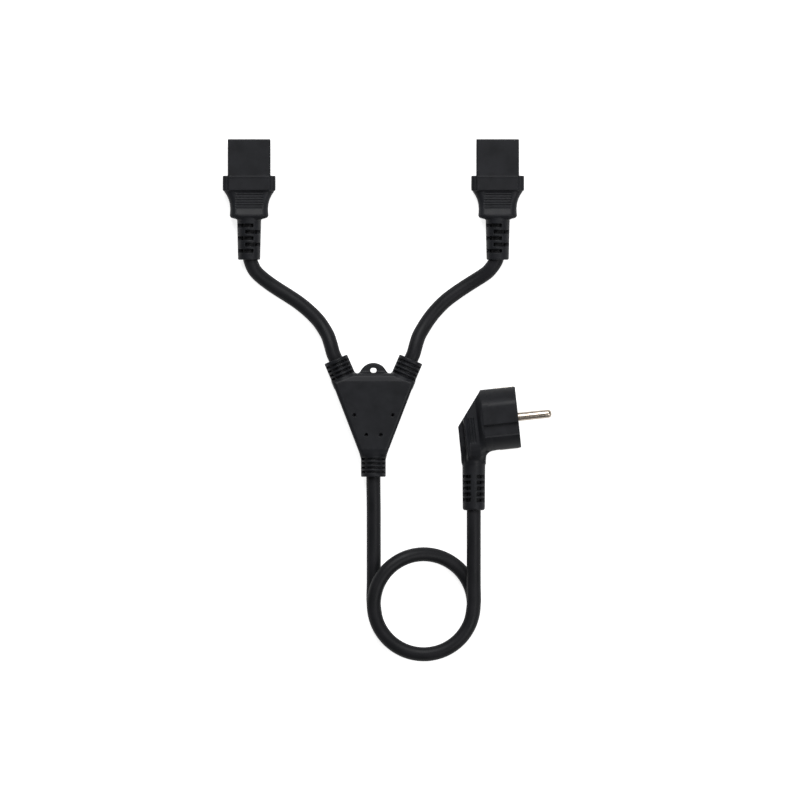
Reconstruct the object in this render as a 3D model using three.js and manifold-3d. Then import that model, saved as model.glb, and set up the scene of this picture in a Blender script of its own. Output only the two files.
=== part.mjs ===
// Power cord splitter: an angled earthed mains plug, a round main cord laid in one and a half turns,
// a moulded Y-joint with a hang tab, and two branch cords, each with a three-pole appliance connector.
// Millimetres, +Z up. The part lies on the plane Z = 0. The origin is under the middle of the
// Y-joint's moulding, and +Y points from the Y-joint to the connectors.

import * as THREE from 'three';
import { mergeVertices } from 'three/addons/utils/BufferGeometryUtils.js';
import Module from 'manifold-3d';

const wasm = await Module();
wasm.setup();

// Cord, with three insulated cores in a round sheath
const CORD_DIAMETER = 8.0;
const CORE_DIAMETER = 2.6;
const CONDUCTOR_DIAMETER = 1.4;
const CORD_REST_HEIGHT = 4.08;
const MAIN_CORD_STEPS = 48;
const BRANCH_CORD_STEPS = 16;
const CORD_SIDES = 12;
const CORE_SIDES = 6;
const CORE_STEPS = 6;

// Clearance between a moulding and what it holds, and between touching pieces
const FIT_GAP = 0.3;
const CUT_OVERRUN = 1.0;

// Y-joint moulding
const JOINT_LENGTH = 69.0;
const JOINT_THICKNESS = 16.4;
const JOINT_EDGE = 3.0;
const JOINT_FOOT_WIDTH = 14.0;
const JOINT_TOP_SETBACK = 10.5;
const FACE_SLOPE_LENGTH = 4.5;
const FACE_SLOPE_DROP = 1.6;
const COLLAR_DIAMETER = 14.0;
const COLLAR_LENGTH = 11.0;
const COLLAR_ANGLE = THREE.MathUtils.degToRad(23.2);
const COLLAR_SPREAD = 42.6;
const COLLAR_EDGE = 0.6;
const COLLAR_ROOT = 4.0;
const GROOVE_COUNT = 4;
const GROOVE_PITCH = 2.45;
const GROOVE_WIDTH = 1.1;
const GROOVE_DEPTH = 1.3;
const GROOVE_SIDE_RIB = 3.2;
const FIRST_GROOVE = 2.7;
const JOINT_SHEATH_DEPTH = 15.0;
const CORD_STRAIGHT_INSIDE = 7.5;
const CORD_STRAIGHT_OUTSIDE = 3.6;
const TAB_RADIUS = 8.0;
const TAB_RISE = 5.9;
const TAB_THICKNESS = 4.6;
const TAB_HOLE_WIDTH = 4.4;
const TAB_HOLE_HEIGHT = 3.1;
const TAB_HOLE_RIM = 2.7;
const PIN_MARK_DIAMETER = 1.6;
const PIN_MARKS = [
  [10.85, 0.4],
  [4.1, -10.8],
];

// Carrier and crimp sleeves inside the Y-joint, stacked in three layers
const CARRIER_FOOT = [6.2, -13.5];
const CARRIER_WAIST = [12.2, -1.0];
const CARRIER_HEAD = [12.8, 8.5];
const CARRIER_THICKNESS = 13.0;
const LAYER_PITCH = 4.1;
const SLEEVE_LENGTH = 9.0;
const SLEEVE_WALL = 0.5;
const TWIN_CORE_SPACING = 3.2;

// Appliance connector, measured back from the tip of its nose
const CONNECTOR_SPACING = 140.4;
const NOSE_TIP_Y = 156.3;
const NOSE_WIDTH = 24.2;
const NOSE_HEIGHT = 15.8;
const NOSE_LENGTH = 20.7;
const NOSE_CORNER = 0.9;
const NOSE_CHAMFER = 5.0;
const NOSE_TIP_EDGE = 0.5;
const NOSE_WALL = 1.8;
const FLANGE_WIDTH = 29.9;
const FLANGE_LENGTH = 8.5;
const FLANGE_EDGE = 1.2;
const GRIP_LENGTH = 17.4;
const GRIP_WAIST_HEIGHT = 12.8;
const GRIP_END_HEIGHT = 15.0;
const GRIP_WAIST_SHARE = 0.4;
const GRIP_END_SLOPE = 2.2;
// Half widths of the grip at distances behind the flange
const GRIP_HALF_WIDTHS = [
  [14.0, 0.6],
  [12.7, 2.5],
  [11.6, 4.9],
  [10.95, 7.3],
  [10.7, 10.0],
  [10.8, 12.4],
  [11.0, 14.2],
  [10.6, 15.5],
];
const RIB_COUNT = 7;
const RIB_PITCH = 1.41;
const RIB_GROOVE_WIDTH = 0.7;
const RIB_GROOVE_DEPTH = 0.5;
const RIB_LENGTH = 13.6;
const CONNECTOR_RELIEF_LENGTH = 21.6;
const CONNECTOR_RELIEF_ROOT_DIAMETER = 13.5;
const CONNECTOR_RELIEF_END_DIAMETER = 12.6;
const CONNECTOR_SLOT_PITCH = 3.6;
const CONNECTOR_SLOT_WIDTH = 2.0;
const CONNECTOR_SLOT_COUNT = 5;
const CONNECTOR_FIRST_SLOT = 5.0;
const CONNECTOR_SLOT_OVERLAP = 2.4;
const CONNECTOR_SIDE_RIB = 2.8;
const CONNECTOR_SHEATH_END = 38.5;
const MOUTH_FLARE_DIAMETER = 11.2;
const MOUTH_FLARE_DEPTH = 8.0;

// Insert and contacts in the connector's nose
const INSERT_RECESS = 0.4;
const INSERT_LENGTH = 18.6;
const CONTACT_SPACING = 14.0;
const CONTACT_OFFSET = 2.0;
const ENTRY_WIDTH = 2.8;
const ENTRY_HEIGHT = 4.8;
const ENTRY_WALL = 1.7;
const CONTACT_WIDTH = 3.6;
const CONTACT_HEIGHT = 5.6;
const CONTACT_WALL = 0.6;
const CONTACT_LENGTH = 12.5;
const BARREL_DIAMETER = 3.4;
const BARREL_LENGTH = 6.5;
const BARREL_BORE = 2.0;
const BARREL_BORE_DEPTH = 5.0;
const CONDUCTOR_INSERTION = 4.2;

// Mains plug, measured from the centre of its face. The head is tilted against the cord's axis.
const PLUG_X = 81.8;
const PLUG_Y = -0.65;
const PLUG_CORD_OFFSET = 25.1;
const HEAD_TILT = THREE.MathUtils.degToRad(6);
const HEAD_DIAMETER = 37.2;
const HEAD_SIDE_FLATS = 33.2;
const HEAD_CLIP_FLATS = 34.8;
const HEAD_DEPTH = 20.1;
const HEAD_EDGE = 0.5;
const GUIDE_NEAR_SIDE = 2.85;
const GUIDE_WIDTH = 6.65;
const GUIDE_DEPTH = 2.4;
const HANDLE_BACK = 34.4;
const HANDLE_BACK_TOP = -2.0;
const HANDLE_BACK_FOOT = -21.2;
const HANDLE_FOOT = -26.2;
const NECK_SLOPE_LENGTH = 3.2;
const NECK_CORNER = 1.0;
const HANDLE_TOP_CORNER = 1.5;
const HANDLE_BACK_CORNER = 1.0;
const HANDLE_THROAT_CORNER = 3.0;
const HANDLE_WIDTH = 24.8;
const BACK_STEP_START = 4.7;
const BACK_STEP_LENGTH = 1.6;
const BACK_STEP_WIDTH = 19.6;
const HANDLE_BACK_WIDTH = 17.0;
// Half widths of the handle below the head, seen from behind
const HANDLE_HALF_WIDTHS = [
  [-13.5, 12.6],
  [-16.5, 11.4],
  [-20.0, 9.4],
  [-24.0, 7.5],
];
const RIDGE_GROOVE_COUNT = 3;
const RIDGE_GROOVE_WIDTH = 0.7;
const RIDGE_GROOVE_DEPTH = 0.6;
const RIDGE_PITCH = 1.4;
const RIDGE_FRONT = 25.5;
const RIDGE_TOP = 2.0;
const RIDGE_FOOT = -12.0;
const PLUG_RELIEF_ROOT_DIAMETER = 12.9;
const PLUG_RELIEF_END_DIAMETER = 12.6;
const PLUG_RELIEF_END = -52.8;
const PLUG_RELIEF_EDGE = 1.5;
const PLUG_SLOT_COUNT = 5;
const PLUG_SLOT_PITCH = 3.32;
const PLUG_SLOT_WIDTH = 1.9;
const PLUG_LAST_SLOT = 5.8;
const PLUG_SPINE = 3.4;
const PLUG_SIDE_RIB = 2.4;
const PLUG_SHEATH_END = -22.5;

// Bridge, pins and earth strap of the plug
const BRIDGE_DIAMETER = 26.0;
const BRIDGE_DEPTH = 9.0;
const BRIDGE_RECESS = 0.3;
const EARTH_BOSS_DIAMETER = 9.2;
const PIN_SPACING = 19.0;
const PIN_DIAMETER = 4.8;
const PIN_LENGTH = 19.0;
const PIN_TIP_EDGE = 1.4;
const PIN_SHANK_END = 10.0;
const PIN_TAIL_DIAMETER = 3.6;
const PIN_TAIL_END = 15.0;
const EARTH_HOLE_OFFSET = 10.0;
const EARTH_ENTRY_DIAMETER = 5.4;
const EARTH_ENTRY_WALL = 1.2;
const EARTH_SOCKET_BORE = 4.9;
const EARTH_SOCKET_WALL = 0.75;
const STRAP_THICKNESS = 0.8;
const STRAP_WIDTH = 6.0;
const STRAP_PROUD = 0.2;
const STRAP_FRONT = 1.2;
const STRAP_BACK = 13.1;
const EARTH_CORE_LANDING = -9.0;

// Loop of the main cord, and the height of its upper pass over the lower one
const LOOP_CENTRE_X = 28.45;
const LOOP_CENTRE_Y = -106.5;
const LOOP_RADIUS = 28.25;
const LOOP_STEP = 22.5;
const LOOP_TURNS = 1.5;
const LOOP_CLEARANCE = 0.17;
const LOOP_RISE_START = 224;
const LOOP_RISE_END = 316;
const LOOP_TOP_HEIGHT = CORD_REST_HEIGHT + CORD_DIAMETER + LOOP_CLEARANCE;

// Sizes that follow from the ones above
const CORD_RADIUS = CORD_DIAMETER / 2;
const CORE_RADIUS = CORE_DIAMETER / 2;
const CONDUCTOR_RADIUS = CONDUCTOR_DIAMETER / 2;
const CORE_CIRCLE = (CORE_DIAMETER + FIT_GAP) / Math.sqrt(3);
const JOINT_TOP_Y = JOINT_LENGTH / 2 - JOINT_TOP_SETBACK;
const TAB_TOP_Y = JOINT_TOP_Y + TAB_RISE;
const COLLAR_RADIUS = COLLAR_DIAMETER / 2;
const JOINT_AXIS_Z = JOINT_THICKNESS / 2;
const COLLAR_END_Y = JOINT_LENGTH / 2 - (COLLAR_RADIUS - COLLAR_EDGE) * Math.sin(COLLAR_ANGLE);
const CONNECTOR_AXIS_Z = NOSE_HEIGHT / 2;
const GRIP_START = NOSE_LENGTH + FLANGE_LENGTH;
const GRIP_END = GRIP_START + GRIP_LENGTH;
const CONNECTOR_RELIEF_END = GRIP_END + CONNECTOR_RELIEF_LENGTH;
const CONTACT_FRONT = INSERT_RECESS + ENTRY_WALL + FIT_GAP;
const CONTACT_END = CONTACT_FRONT + CONTACT_LENGTH + BARREL_LENGTH;
const PLUG_AXIS_Z = HEAD_SIDE_FLATS / 2;
const CLIP_FACE = HEAD_CLIP_FLATS / 2 + STRAP_PROUD;
const EARTH_SOCKET_RADIUS = EARTH_SOCKET_BORE / 2 + EARTH_SOCKET_WALL;

// Places of the three cores round a sheath's axis, seen at the Y-joint and the connectors
const CORES = [
  { name: 'live', angle: 60, layer: 1, side: 1 },
  { name: 'neutral', angle: 180, layer: 0, side: -1 },
  { name: 'earth', angle: 300, layer: -1, side: 0 },
];

// Routes of the cords' middle lines: points chosen by hand, between straight ends in the mouldings
const MAIN_OUT = [
  [0.1, -45, 7.7],
  [0.2, -54, 6.3],
  [0.2, -63, 4.9],
  [0.2, -72, 4.2],
  [0.2, -80, CORD_REST_HEIGHT],
  [0.2, -93, CORD_REST_HEIGHT],
];
const MAIN_TO_PLUG = [
  [56.7, -96, LOOP_TOP_HEIGHT],
  [56.7, -87, 12.4],
  [56.7, -79, 13.1],
  [56.7, -71, 14.5],
  [56.7, -63, 15.9],
  [56.7, -57.5, 16.5],
  [56.7, -53.2, 16.6],
  [56.7, -46, 16.6],
  [56.7, -36, 16.6],
];
const LEFT_BRANCH = [
  [-24.1, 40.3, 7.6],
  [-25.7, 45.1, 6.4],
  [-28.2, 49.6, 5.2],
  [-31.4, 54.1, 4.4],
  [-36.8, 59.5, 4.1],
  [-42.5, 64.1, CORD_REST_HEIGHT],
  [-48.2, 67.9, CORD_REST_HEIGHT],
  [-53.9, 71.5, 4.1],
  [-59.2, 75.1, 4.6],
  [-64.3, 79.2, 5.8],
  [-66.8, 81.9, 6.6],
  [-68.4, 84.8, 7.3],
  [-69.5, 88.0, 7.8],
  [-70.03, 90.7, 7.9],
  [-70.2, 93.5, 7.9],
  [-70.2, 98, 7.9],
  [-70.2, 108, 7.9],
];
const RIGHT_BRANCH = [
  [24.1, 40.3, 7.6],
  [25.7, 45.1, 6.4],
  [28.2, 49.6, 5.2],
  [31.0, 54.0, 4.4],
  [34.8, 58.9, 4.1],
  [40.4, 64.6, CORD_REST_HEIGHT],
  [46.1, 69.0, CORD_REST_HEIGHT],
  [51.7, 72.8, 4.1],
  [57.2, 76.3, 4.6],
  [61.8, 79.2, 5.4],
  [64.7, 81.4, 6.3],
  [66.9, 83.9, 7.1],
  [68.6, 86.4, 7.6],
  [69.6, 88.5, 7.85],
  [70.05, 91.0, 7.9],
  [70.2, 93.8, 7.9],
  [70.2, 98, 7.9],
  [70.2, 108, 7.9],
];

const UP = new THREE.Vector3(0, 0, 1);
const ALONG_Y = new THREE.Vector3(0, 1, 0);

// Joins and cuts

function solid(geometry) {
  const bare = geometry.clone();
  bare.deleteAttribute('normal');
  bare.deleteAttribute('uv');
  const merged = mergeVertices(bare, 1e-4);
  const index = merged.index.array;
  const kept = [];
  for (let i = 0; i < index.length; i += 3) {
    const [a, b, c] = [index[i], index[i + 1], index[i + 2]];
    if (a !== b && b !== c && c !== a) {
      kept.push(a, b, c);
    }
  }
  const vertProperties = new Float32Array(merged.attributes.position.array);
  return new wasm.Manifold(new wasm.Mesh({ numProp: 3, vertProperties, triVerts: new Uint32Array(kept) }));
}

function join(geometries) {
  return geometries.map(solid).reduce((whole, piece) => whole.add(piece));
}

function common(geometries) {
  return geometries.map(solid).reduce((whole, piece) => whole.intersect(piece));
}

function cut(body, geometries) {
  return geometries.map(solid).reduce((rest, tool) => rest.subtract(tool), body);
}

function geometryOf(body) {
  const { vertProperties, triVerts } = body.getMesh();
  const geometry = new THREE.BufferGeometry();
  geometry.setAttribute('position', new THREE.BufferAttribute(new Float32Array(vertProperties), 3));
  geometry.setIndex(new THREE.BufferAttribute(new Uint32Array(triVerts), 1));
  geometry.computeVertexNormals();
  return geometry;
}

// Shapes and plain solids

// Closed outline through corners [x, y, radius], with each corner rounded by its radius
function outline(corners) {
  const shape = new THREE.Shape();
  corners.forEach(([x, y, radius = 0], i) => {
    const corner = new THREE.Vector2(x, y);
    const [bx, by] = corners.at(i - 1);
    const [ax, ay] = corners[(i + 1) % corners.length];
    const back = new THREE.Vector2(bx, by).sub(corner).normalize();
    const ahead = new THREE.Vector2(ax, ay).sub(corner).normalize();
    const reach = radius > 0 ? radius / Math.tan(Math.acos(back.dot(ahead)) / 2) : 0;
    const start = corner.clone().addScaledVector(back, reach);
    const end = corner.clone().addScaledVector(ahead, reach);
    if (i === 0) {
      shape.moveTo(start.x, start.y);
    } else {
      shape.lineTo(start.x, start.y);
    }
    if (radius > 0) {
      shape.quadraticCurveTo(corner.x, corner.y, end.x, end.y);
    }
  });
  shape.closePath();
  return shape;
}

// Both sides of a half outline, given from one end to the other at positive x
function mirrored(half) {
  const other = half.map(([x, ...rest]) => [-x, ...rest]).reverse();
  return outline([...half, ...other]);
}

function stadium(width, height) {
  const reach = (width - height) / 2;
  const shape = new THREE.Shape();
  shape.absarc(reach, 0, height / 2, -Math.PI / 2, Math.PI / 2);
  shape.absarc(-reach, 0, height / 2, Math.PI / 2, (3 * Math.PI) / 2);
  shape.closePath();
  return shape;
}

function circlePoints(radius, count) {
  return Array.from({ length: count }, (_, i) => {
    const angle = (2 * Math.PI * i) / count;
    return new THREE.Vector2(radius * Math.cos(angle), radius * Math.sin(angle));
  });
}

// An outline in X and Y, drawn up from one height to another, with bevelled edges
function plate(shape, low, high, bevel = 0, bevelSegments = 1, curveSegments = 3) {
  const geometry = new THREE.ExtrudeGeometry(shape, {
    depth: high - low - 2 * bevel,
    curveSegments,
    bevelEnabled: bevel > 0,
    bevelThickness: bevel,
    bevelSize: bevel,
    bevelOffset: -bevel,
    bevelSegments,
  });
  return geometry.translate(0, 0, low + bevel);
}

// An outline in X and Z, drawn along Y
function barAlongY(shape, low, high, bevel = 0) {
  return plate(shape, -high, -low, bevel).rotateX(Math.PI / 2);
}

// An outline in Y and Z, drawn along X
function barAlongX(shape, low, high) {
  return plate(shape, low, high).rotateX(Math.PI / 2).rotateZ(Math.PI / 2);
}

function block(low, high) {
  const size = high.map((value, i) => value - low[i]);
  const middle = high.map((value, i) => (value + low[i]) / 2);
  return new THREE.BoxGeometry(...size).translate(...middle);
}

// Sets a solid of revolution, made round +Y from its origin, at a place and along a direction
function aim(geometry, place, direction) {
  geometry.applyQuaternion(new THREE.Quaternion().setFromUnitVectors(ALONG_Y, direction));
  return geometry.translate(place.x, place.y, place.z);
}

function rod(from, to, radius, sides = 16) {
  const axis = to.clone().sub(from);
  const length = axis.length();
  const geometry = new THREE.CylinderGeometry(radius, radius, length, sides).translate(0, length / 2, 0);
  return aim(geometry, from, axis.normalize());
}

function turned(profile, sides) {
  return new THREE.LatheGeometry(profile.map(([radius, y]) => new THREE.Vector2(radius, y)), sides);
}

// A round section carried along a smooth curve through points
function tube(points, radius, sides, steps) {
  const section = new THREE.Shape(circlePoints(radius, sides));
  const extrudePath = new THREE.CatmullRomCurve3(points);
  return new THREE.ExtrudeGeometry(section, { steps, extrudePath, bevelEnabled: false });
}

function point(x, y, z) {
  return new THREE.Vector3(x, y, z);
}

function moved(start, direction, distance) {
  return start.clone().addScaledVector(direction, distance);
}

// Cores: an insulated core along a route, with its bare conductor at the far end, and its channel

function coreTail(route, bareLength) {
  const insulation = tube(route, CORE_RADIUS, CORE_SIDES, CORE_STEPS);
  if (bareLength === 0) {
    return solid(insulation);
  }
  const end = route.at(-1);
  const direction = end.clone().sub(route.at(-2)).normalize();
  const conductor = rod(moved(end, direction, -CORE_RADIUS), moved(end, direction, bareLength),
    CONDUCTOR_RADIUS, CORE_SIDES);
  return join([insulation, conductor]);
}

function coreChannel(route) {
  const radius = CORE_RADIUS + FIT_GAP / Math.cos(Math.PI / CORE_SIDES);
  const first = route[0].clone().sub(route[1]).normalize();
  const last = route.at(-1).clone().sub(route.at(-2)).normalize();
  return [
    tube(route, radius, CORE_SIDES, CORE_STEPS),
    rod(moved(route[0], first, -radius), moved(route[0], first, CUT_OVERRUN), radius, CORE_SIDES),
    rod(moved(route.at(-1), last, -radius), moved(route.at(-1), last, CUT_OVERRUN), radius, CORE_SIDES),
  ];
}

// Where a core starts at a sheath's end: round the axis, with 0 degrees at the side and 90 on top
function coreStart(sheathEnd, inward, angle) {
  const side = new THREE.Vector3().crossVectors(inward, UP);
  const turn = THREE.MathUtils.degToRad(angle);
  return moved(sheathEnd, inward, FIT_GAP)
    .addScaledVector(side, CORE_CIRCLE * Math.cos(turn))
    .addScaledVector(UP, CORE_CIRCLE * Math.sin(turn));
}

// Materials

function finish(color, roughness, metalness = 0) {
  return () => new THREE.MeshStandardMaterial({ color, roughness, metalness });
}

const SOFT_PVC = finish(0x26262a, 0.5);
const CORD_PVC = finish(0x2b2b2e, 0.45);
const HARD_PLASTIC = finish(0x1b1b1d, 0.6);
const CARRIER_PLASTIC = finish(0xd8d4c8, 0.6);
const NICKEL = finish(0xc9c7c2, 0.25, 1);
const BRASS = finish(0xb8974a, 0.35, 1);
const TINNED = finish(0xb9bab8, 0.4, 1);
const CORE_FINISHES = {
  live: finish(0x6a3a1c, 0.5),
  neutral: finish(0x2062ae, 0.5),
  earth: finish(0x9db52c, 0.5),
};

function addPiece(group, name, geometry, material) {
  const mesh = new THREE.Mesh(geometry, material());
  mesh.name = name;
  group.add(mesh);
}

// Y-joint: where each cord enters it, and the routes of its nine core ends

function jointEntries() {
  const upper = [-1, 1].map((side) => ({
    cord: side < 0 ? 'left' : 'right',
    side,
    end: point((side * COLLAR_SPREAD) / 2, COLLAR_END_Y, JOINT_AXIS_Z),
    inward: point(-side * Math.sin(COLLAR_ANGLE), -Math.cos(COLLAR_ANGLE), 0),
  }));
  const lower = {
    cord: 'main',
    side: 0,
    end: point(0, -JOINT_LENGTH / 2, JOINT_AXIS_Z),
    inward: point(0, 1, 0),
  };
  return [lower, ...upper].map((entry) => ({
    ...entry,
    sheathEnd: moved(entry.end, entry.inward, JOINT_SHEATH_DEPTH),
  }));
}

function jointCoreRoute(entry, core) {
  const z = JOINT_AXIS_Z + core.layer * LAYER_PITCH;
  const angle = entry.side > 0 ? 180 - core.angle : core.angle;
  const start = coreStart(entry.sheathEnd, entry.inward, angle);
  const lead = moved(start, entry.inward, CORE_DIAMETER / 2);
  const x = (entry.side * TWIN_CORE_SPACING) / 2;
  const y = SLEEVE_LENGTH / 2 + 2 * FIT_GAP;
  if (entry.side === 0) {
    return [start, lead, point(0, CARRIER_FOOT[1] + CORE_DIAMETER, z), point(0, -y, z)];
  }
  return [start, lead, point(x, CARRIER_HEAD[1], z), point(x, y, z)];
}

function collar(entry) {
  const profile = [
    [0, 0],
    [COLLAR_RADIUS - COLLAR_EDGE, 0],
    [COLLAR_RADIUS, COLLAR_EDGE],
    [COLLAR_RADIUS, COLLAR_LENGTH + COLLAR_ROOT],
    [0, COLLAR_LENGTH + COLLAR_ROOT],
  ];
  return aim(turned(profile, 16), entry.end, entry.inward);
}

// Rings cut from a collar's top and underside, which leave a narrow rib along each side
function collarGrooves(entry) {
  const [floor, reach] = [COLLAR_RADIUS - GROOVE_DEPTH, COLLAR_RADIUS + CUT_OVERRUN];
  const half = GROOVE_WIDTH / 2;
  const grooves = [];
  for (let i = 0; i < GROOVE_COUNT; i += 1) {
    const middle = FIRST_GROOVE + i * GROOVE_PITCH;
    const ring = [
      [floor, middle - half],
      [reach, middle - half],
      [reach, middle + half],
      [floor, middle + half],
      [floor, middle - half],
    ];
    const ribs = block([-reach, middle - half - FIT_GAP, -GROOVE_SIDE_RIB / 2],
      [reach, middle + half + FIT_GAP, GROOVE_SIDE_RIB / 2]);
    grooves.push(cut(solid(turned(ring, 16)), [ribs]));
  }
  return grooves.map((groove) => aim(geometryOf(groove), entry.end, entry.inward));
}

// Triangular block: seen from above it runs from the lower collar to the roots of the upper ones,
// and seen from the side its two faces slope down to the collars
function jointBlock() {
  const footY = -JOINT_LENGTH / 2 + COLLAR_LENGTH;
  const rootX = COLLAR_SPREAD / 2 - COLLAR_LENGTH * Math.sin(COLLAR_ANGLE);
  const rootY = COLLAR_END_Y - COLLAR_LENGTH * Math.cos(COLLAR_ANGLE);
  const shoulderX = rootX + COLLAR_RADIUS * Math.cos(COLLAR_ANGLE);
  const shoulderY = rootY - COLLAR_RADIUS * Math.sin(COLLAR_ANGLE);
  const crotchX = shoulderX - (JOINT_TOP_Y - shoulderY) / Math.tan(COLLAR_ANGLE);
  const plan = mirrored([
    [JOINT_FOOT_WIDTH / 2, footY],
    [shoulderX, shoulderY],
    [crotchX, JOINT_TOP_Y],
  ]);
  const drop = FACE_SLOPE_DROP;
  const side = outline([
    [footY, drop],
    [footY + FACE_SLOPE_LENGTH, 0],
    [JOINT_TOP_Y - FACE_SLOPE_LENGTH, 0],
    [JOINT_TOP_Y, drop],
    [JOINT_TOP_Y, JOINT_THICKNESS - drop],
    [JOINT_TOP_Y - FACE_SLOPE_LENGTH, JOINT_THICKNESS],
    [footY + FACE_SLOPE_LENGTH, JOINT_THICKNESS],
    [footY, JOINT_THICKNESS - drop],
  ]);
  const halfSpan = COLLAR_SPREAD / 2 + COLLAR_DIAMETER;
  return common([
    plate(plan, 0, JOINT_THICKNESS, JOINT_EDGE, 2),
    barAlongX(side, -halfSpan, halfSpan),
  ]);
}

function hangTab() {
  const disc = new THREE.Shape(circlePoints(TAB_RADIUS, 20));
  const low = JOINT_AXIS_Z - TAB_THICKNESS / 2;
  return plate(disc, low, low + TAB_THICKNESS).translate(0, TAB_TOP_Y - TAB_RADIUS, 0);
}

function hangTabHole() {
  const y = TAB_TOP_Y - TAB_HOLE_RIM - TAB_HOLE_HEIGHT / 2;
  const hole = stadium(TAB_HOLE_WIDTH, TAB_HOLE_HEIGHT);
  return plate(hole, -CUT_OVERRUN, JOINT_THICKNESS + CUT_OVERRUN).translate(0, y, 0);
}

function carrierPlate(gap) {
  const half = [CARRIER_FOOT, CARRIER_WAIST, CARRIER_HEAD].map(([x, y]) => [x + gap, y]);
  half[0][1] -= gap;
  half[2][1] += gap;
  const reach = CARRIER_THICKNESS / 2 + gap;
  return plate(mirrored(half), JOINT_AXIS_Z - reach, JOINT_AXIS_Z + reach);
}

// Marks of the pins that held the carrier while the joint was moulded: from each face to the carrier
function pinMarks() {
  const reach = CARRIER_THICKNESS / 2;
  return PIN_MARKS.flatMap(([x, y]) => [-1, 1].flatMap((side) => [
    rod(point(side * x, y, JOINT_AXIS_Z + reach), point(side * x, y, JOINT_THICKNESS + CUT_OVERRUN),
      PIN_MARK_DIAMETER / 2, 8),
    rod(point(side * x, y, -CUT_OVERRUN), point(side * x, y, JOINT_AXIS_Z - reach),
      PIN_MARK_DIAMETER / 2, 8),
  ]));
}

function sheathBore(entry) {
  const outside = moved(entry.end, entry.inward, -CUT_OVERRUN);
  return rod(outside, moved(entry.sheathEnd, entry.inward, 2 * FIT_GAP), CORD_RADIUS + FIT_GAP);
}

// Room in the middle of the three channels, where a cord's cores part
function coreFork(entry) {
  return rod(entry.sheathEnd, moved(entry.sheathEnd, entry.inward, 2 * CORE_DIAMETER), CORE_RADIUS,
    CORE_SIDES);
}

function sleeveOutline(gap) {
  const bore = CONDUCTOR_DIAMETER + 2 * FIT_GAP;
  const rim = 2 * (SLEEVE_WALL + gap);
  return stadium(TWIN_CORE_SPACING + bore + rim, bore + rim);
}

function sleeve(core) {
  const half = SLEEVE_LENGTH / 2;
  const bore = barAlongY(sleeveOutline(-SLEEVE_WALL), -half - CUT_OVERRUN, half + CUT_OVERRUN);
  const body = cut(solid(barAlongY(sleeveOutline(0), -half, half)), [bore]);
  return geometryOf(body).translate(0, 0, JOINT_AXIS_Z + core.layer * LAYER_PITCH);
}

function sleevePocket(core) {
  const half = SLEEVE_LENGTH / 2 + FIT_GAP;
  const z = JOINT_AXIS_Z + core.layer * LAYER_PITCH;
  return barAlongY(sleeveOutline(FIT_GAP), -half, half).translate(0, 0, z);
}

function yJoint() {
  const group = new THREE.Group();
  const entries = jointEntries();
  const routes = entries.flatMap((entry) => CORES.map((core) => ({
    name: `joint_${entry.cord}_${core.name}_core`,
    core,
    route: jointCoreRoute(entry, core),
  })));
  const channels = routes.flatMap(({ route }) => coreChannel(route));

  let moulding = jointBlock();
  entries.forEach((entry) => {
    moulding = moulding.add(solid(collar(entry)));
  });
  moulding = moulding.add(solid(hangTab()));
  moulding = cut(moulding, [hangTabHole(), ...pinMarks(), carrierPlate(FIT_GAP)]);
  moulding = cut(moulding, entries.flatMap(collarGrooves));
  moulding = cut(moulding, [...entries.map(sheathBore), ...entries.map(coreFork), ...channels]);
  addPiece(group, 'joint_moulding', geometryOf(moulding), SOFT_PVC);

  const carrier = cut(solid(carrierPlate(0)), [...CORES.map(sleevePocket), ...channels]);
  addPiece(group, 'joint_carrier', geometryOf(carrier), CARRIER_PLASTIC);
  CORES.forEach((core) => addPiece(group, `joint_${core.name}_sleeve`, sleeve(core), TINNED));
  routes.forEach(({ name, core, route }) => {
    const bare = SLEEVE_LENGTH / 2;
    addPiece(group, name, geometryOf(coreTail(route, bare)), CORE_FINISHES[core.name]);
  });
  return group;
}

// Appliance connector, made with the tip of its nose at the origin and its cord towards -Y

// The nose's front view, drawn in by an inset: square above, and with two cut corners below
function noseOutline(inset) {
  const x = NOSE_WIDTH / 2 - inset;
  const z = NOSE_HEIGHT / 2 - inset;
  const chamfer = NOSE_CHAMFER - inset * (2 - Math.SQRT2);
  return mirrored([
    [x - chamfer, -z],
    [x, chamfer - z],
    [x, z, NOSE_CORNER],
  ]);
}

// Flange and grip seen from above: the grip draws in to a waist and slopes to the relief at its end
function gripPlan() {
  const flange = FLANGE_WIDTH / 2;
  const half = [
    [CONNECTOR_RELIEF_ROOT_DIAMETER / 2, -GRIP_END],
    ...GRIP_HALF_WIDTHS.map(([width, behind]) => [width, -GRIP_START - behind]).reverse(),
    [flange, FLANGE_EDGE / 2 - GRIP_START],
    [flange, -NOSE_LENGTH],
  ];
  return mirrored(half);
}

// Half height of the grip at a distance behind the flange: a waist, then a lip before the relief
function gripHalfHeight(behind) {
  const waist = GRIP_WAIST_HEIGHT / 2;
  const lip = GRIP_END_HEIGHT / 2;
  const share = behind / (GRIP_LENGTH - GRIP_END_SLOPE);
  const rise = Math.max(0, share - GRIP_WAIST_SHARE) / (1 - GRIP_WAIST_SHARE);
  return waist + (lip - waist) * Math.min(1, rise) ** 2;
}

function gripSide() {
  const steps = 6;
  const body = GRIP_LENGTH - GRIP_END_SLOPE;
  const upper = [[-NOSE_LENGTH, NOSE_HEIGHT / 2], [-GRIP_START, NOSE_HEIGHT / 2]];
  for (let i = 0; i <= steps; i += 1) {
    const behind = FLANGE_EDGE / 2 + ((body - FLANGE_EDGE / 2) * i) / steps;
    upper.push([-GRIP_START - behind, gripHalfHeight(behind)]);
  }
  upper.push([-GRIP_END, CONNECTOR_RELIEF_ROOT_DIAMETER / 2]);
  const lower = upper.map(([y, z]) => [y, -z]).reverse();
  return outline([...upper, ...lower]);
}

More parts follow.
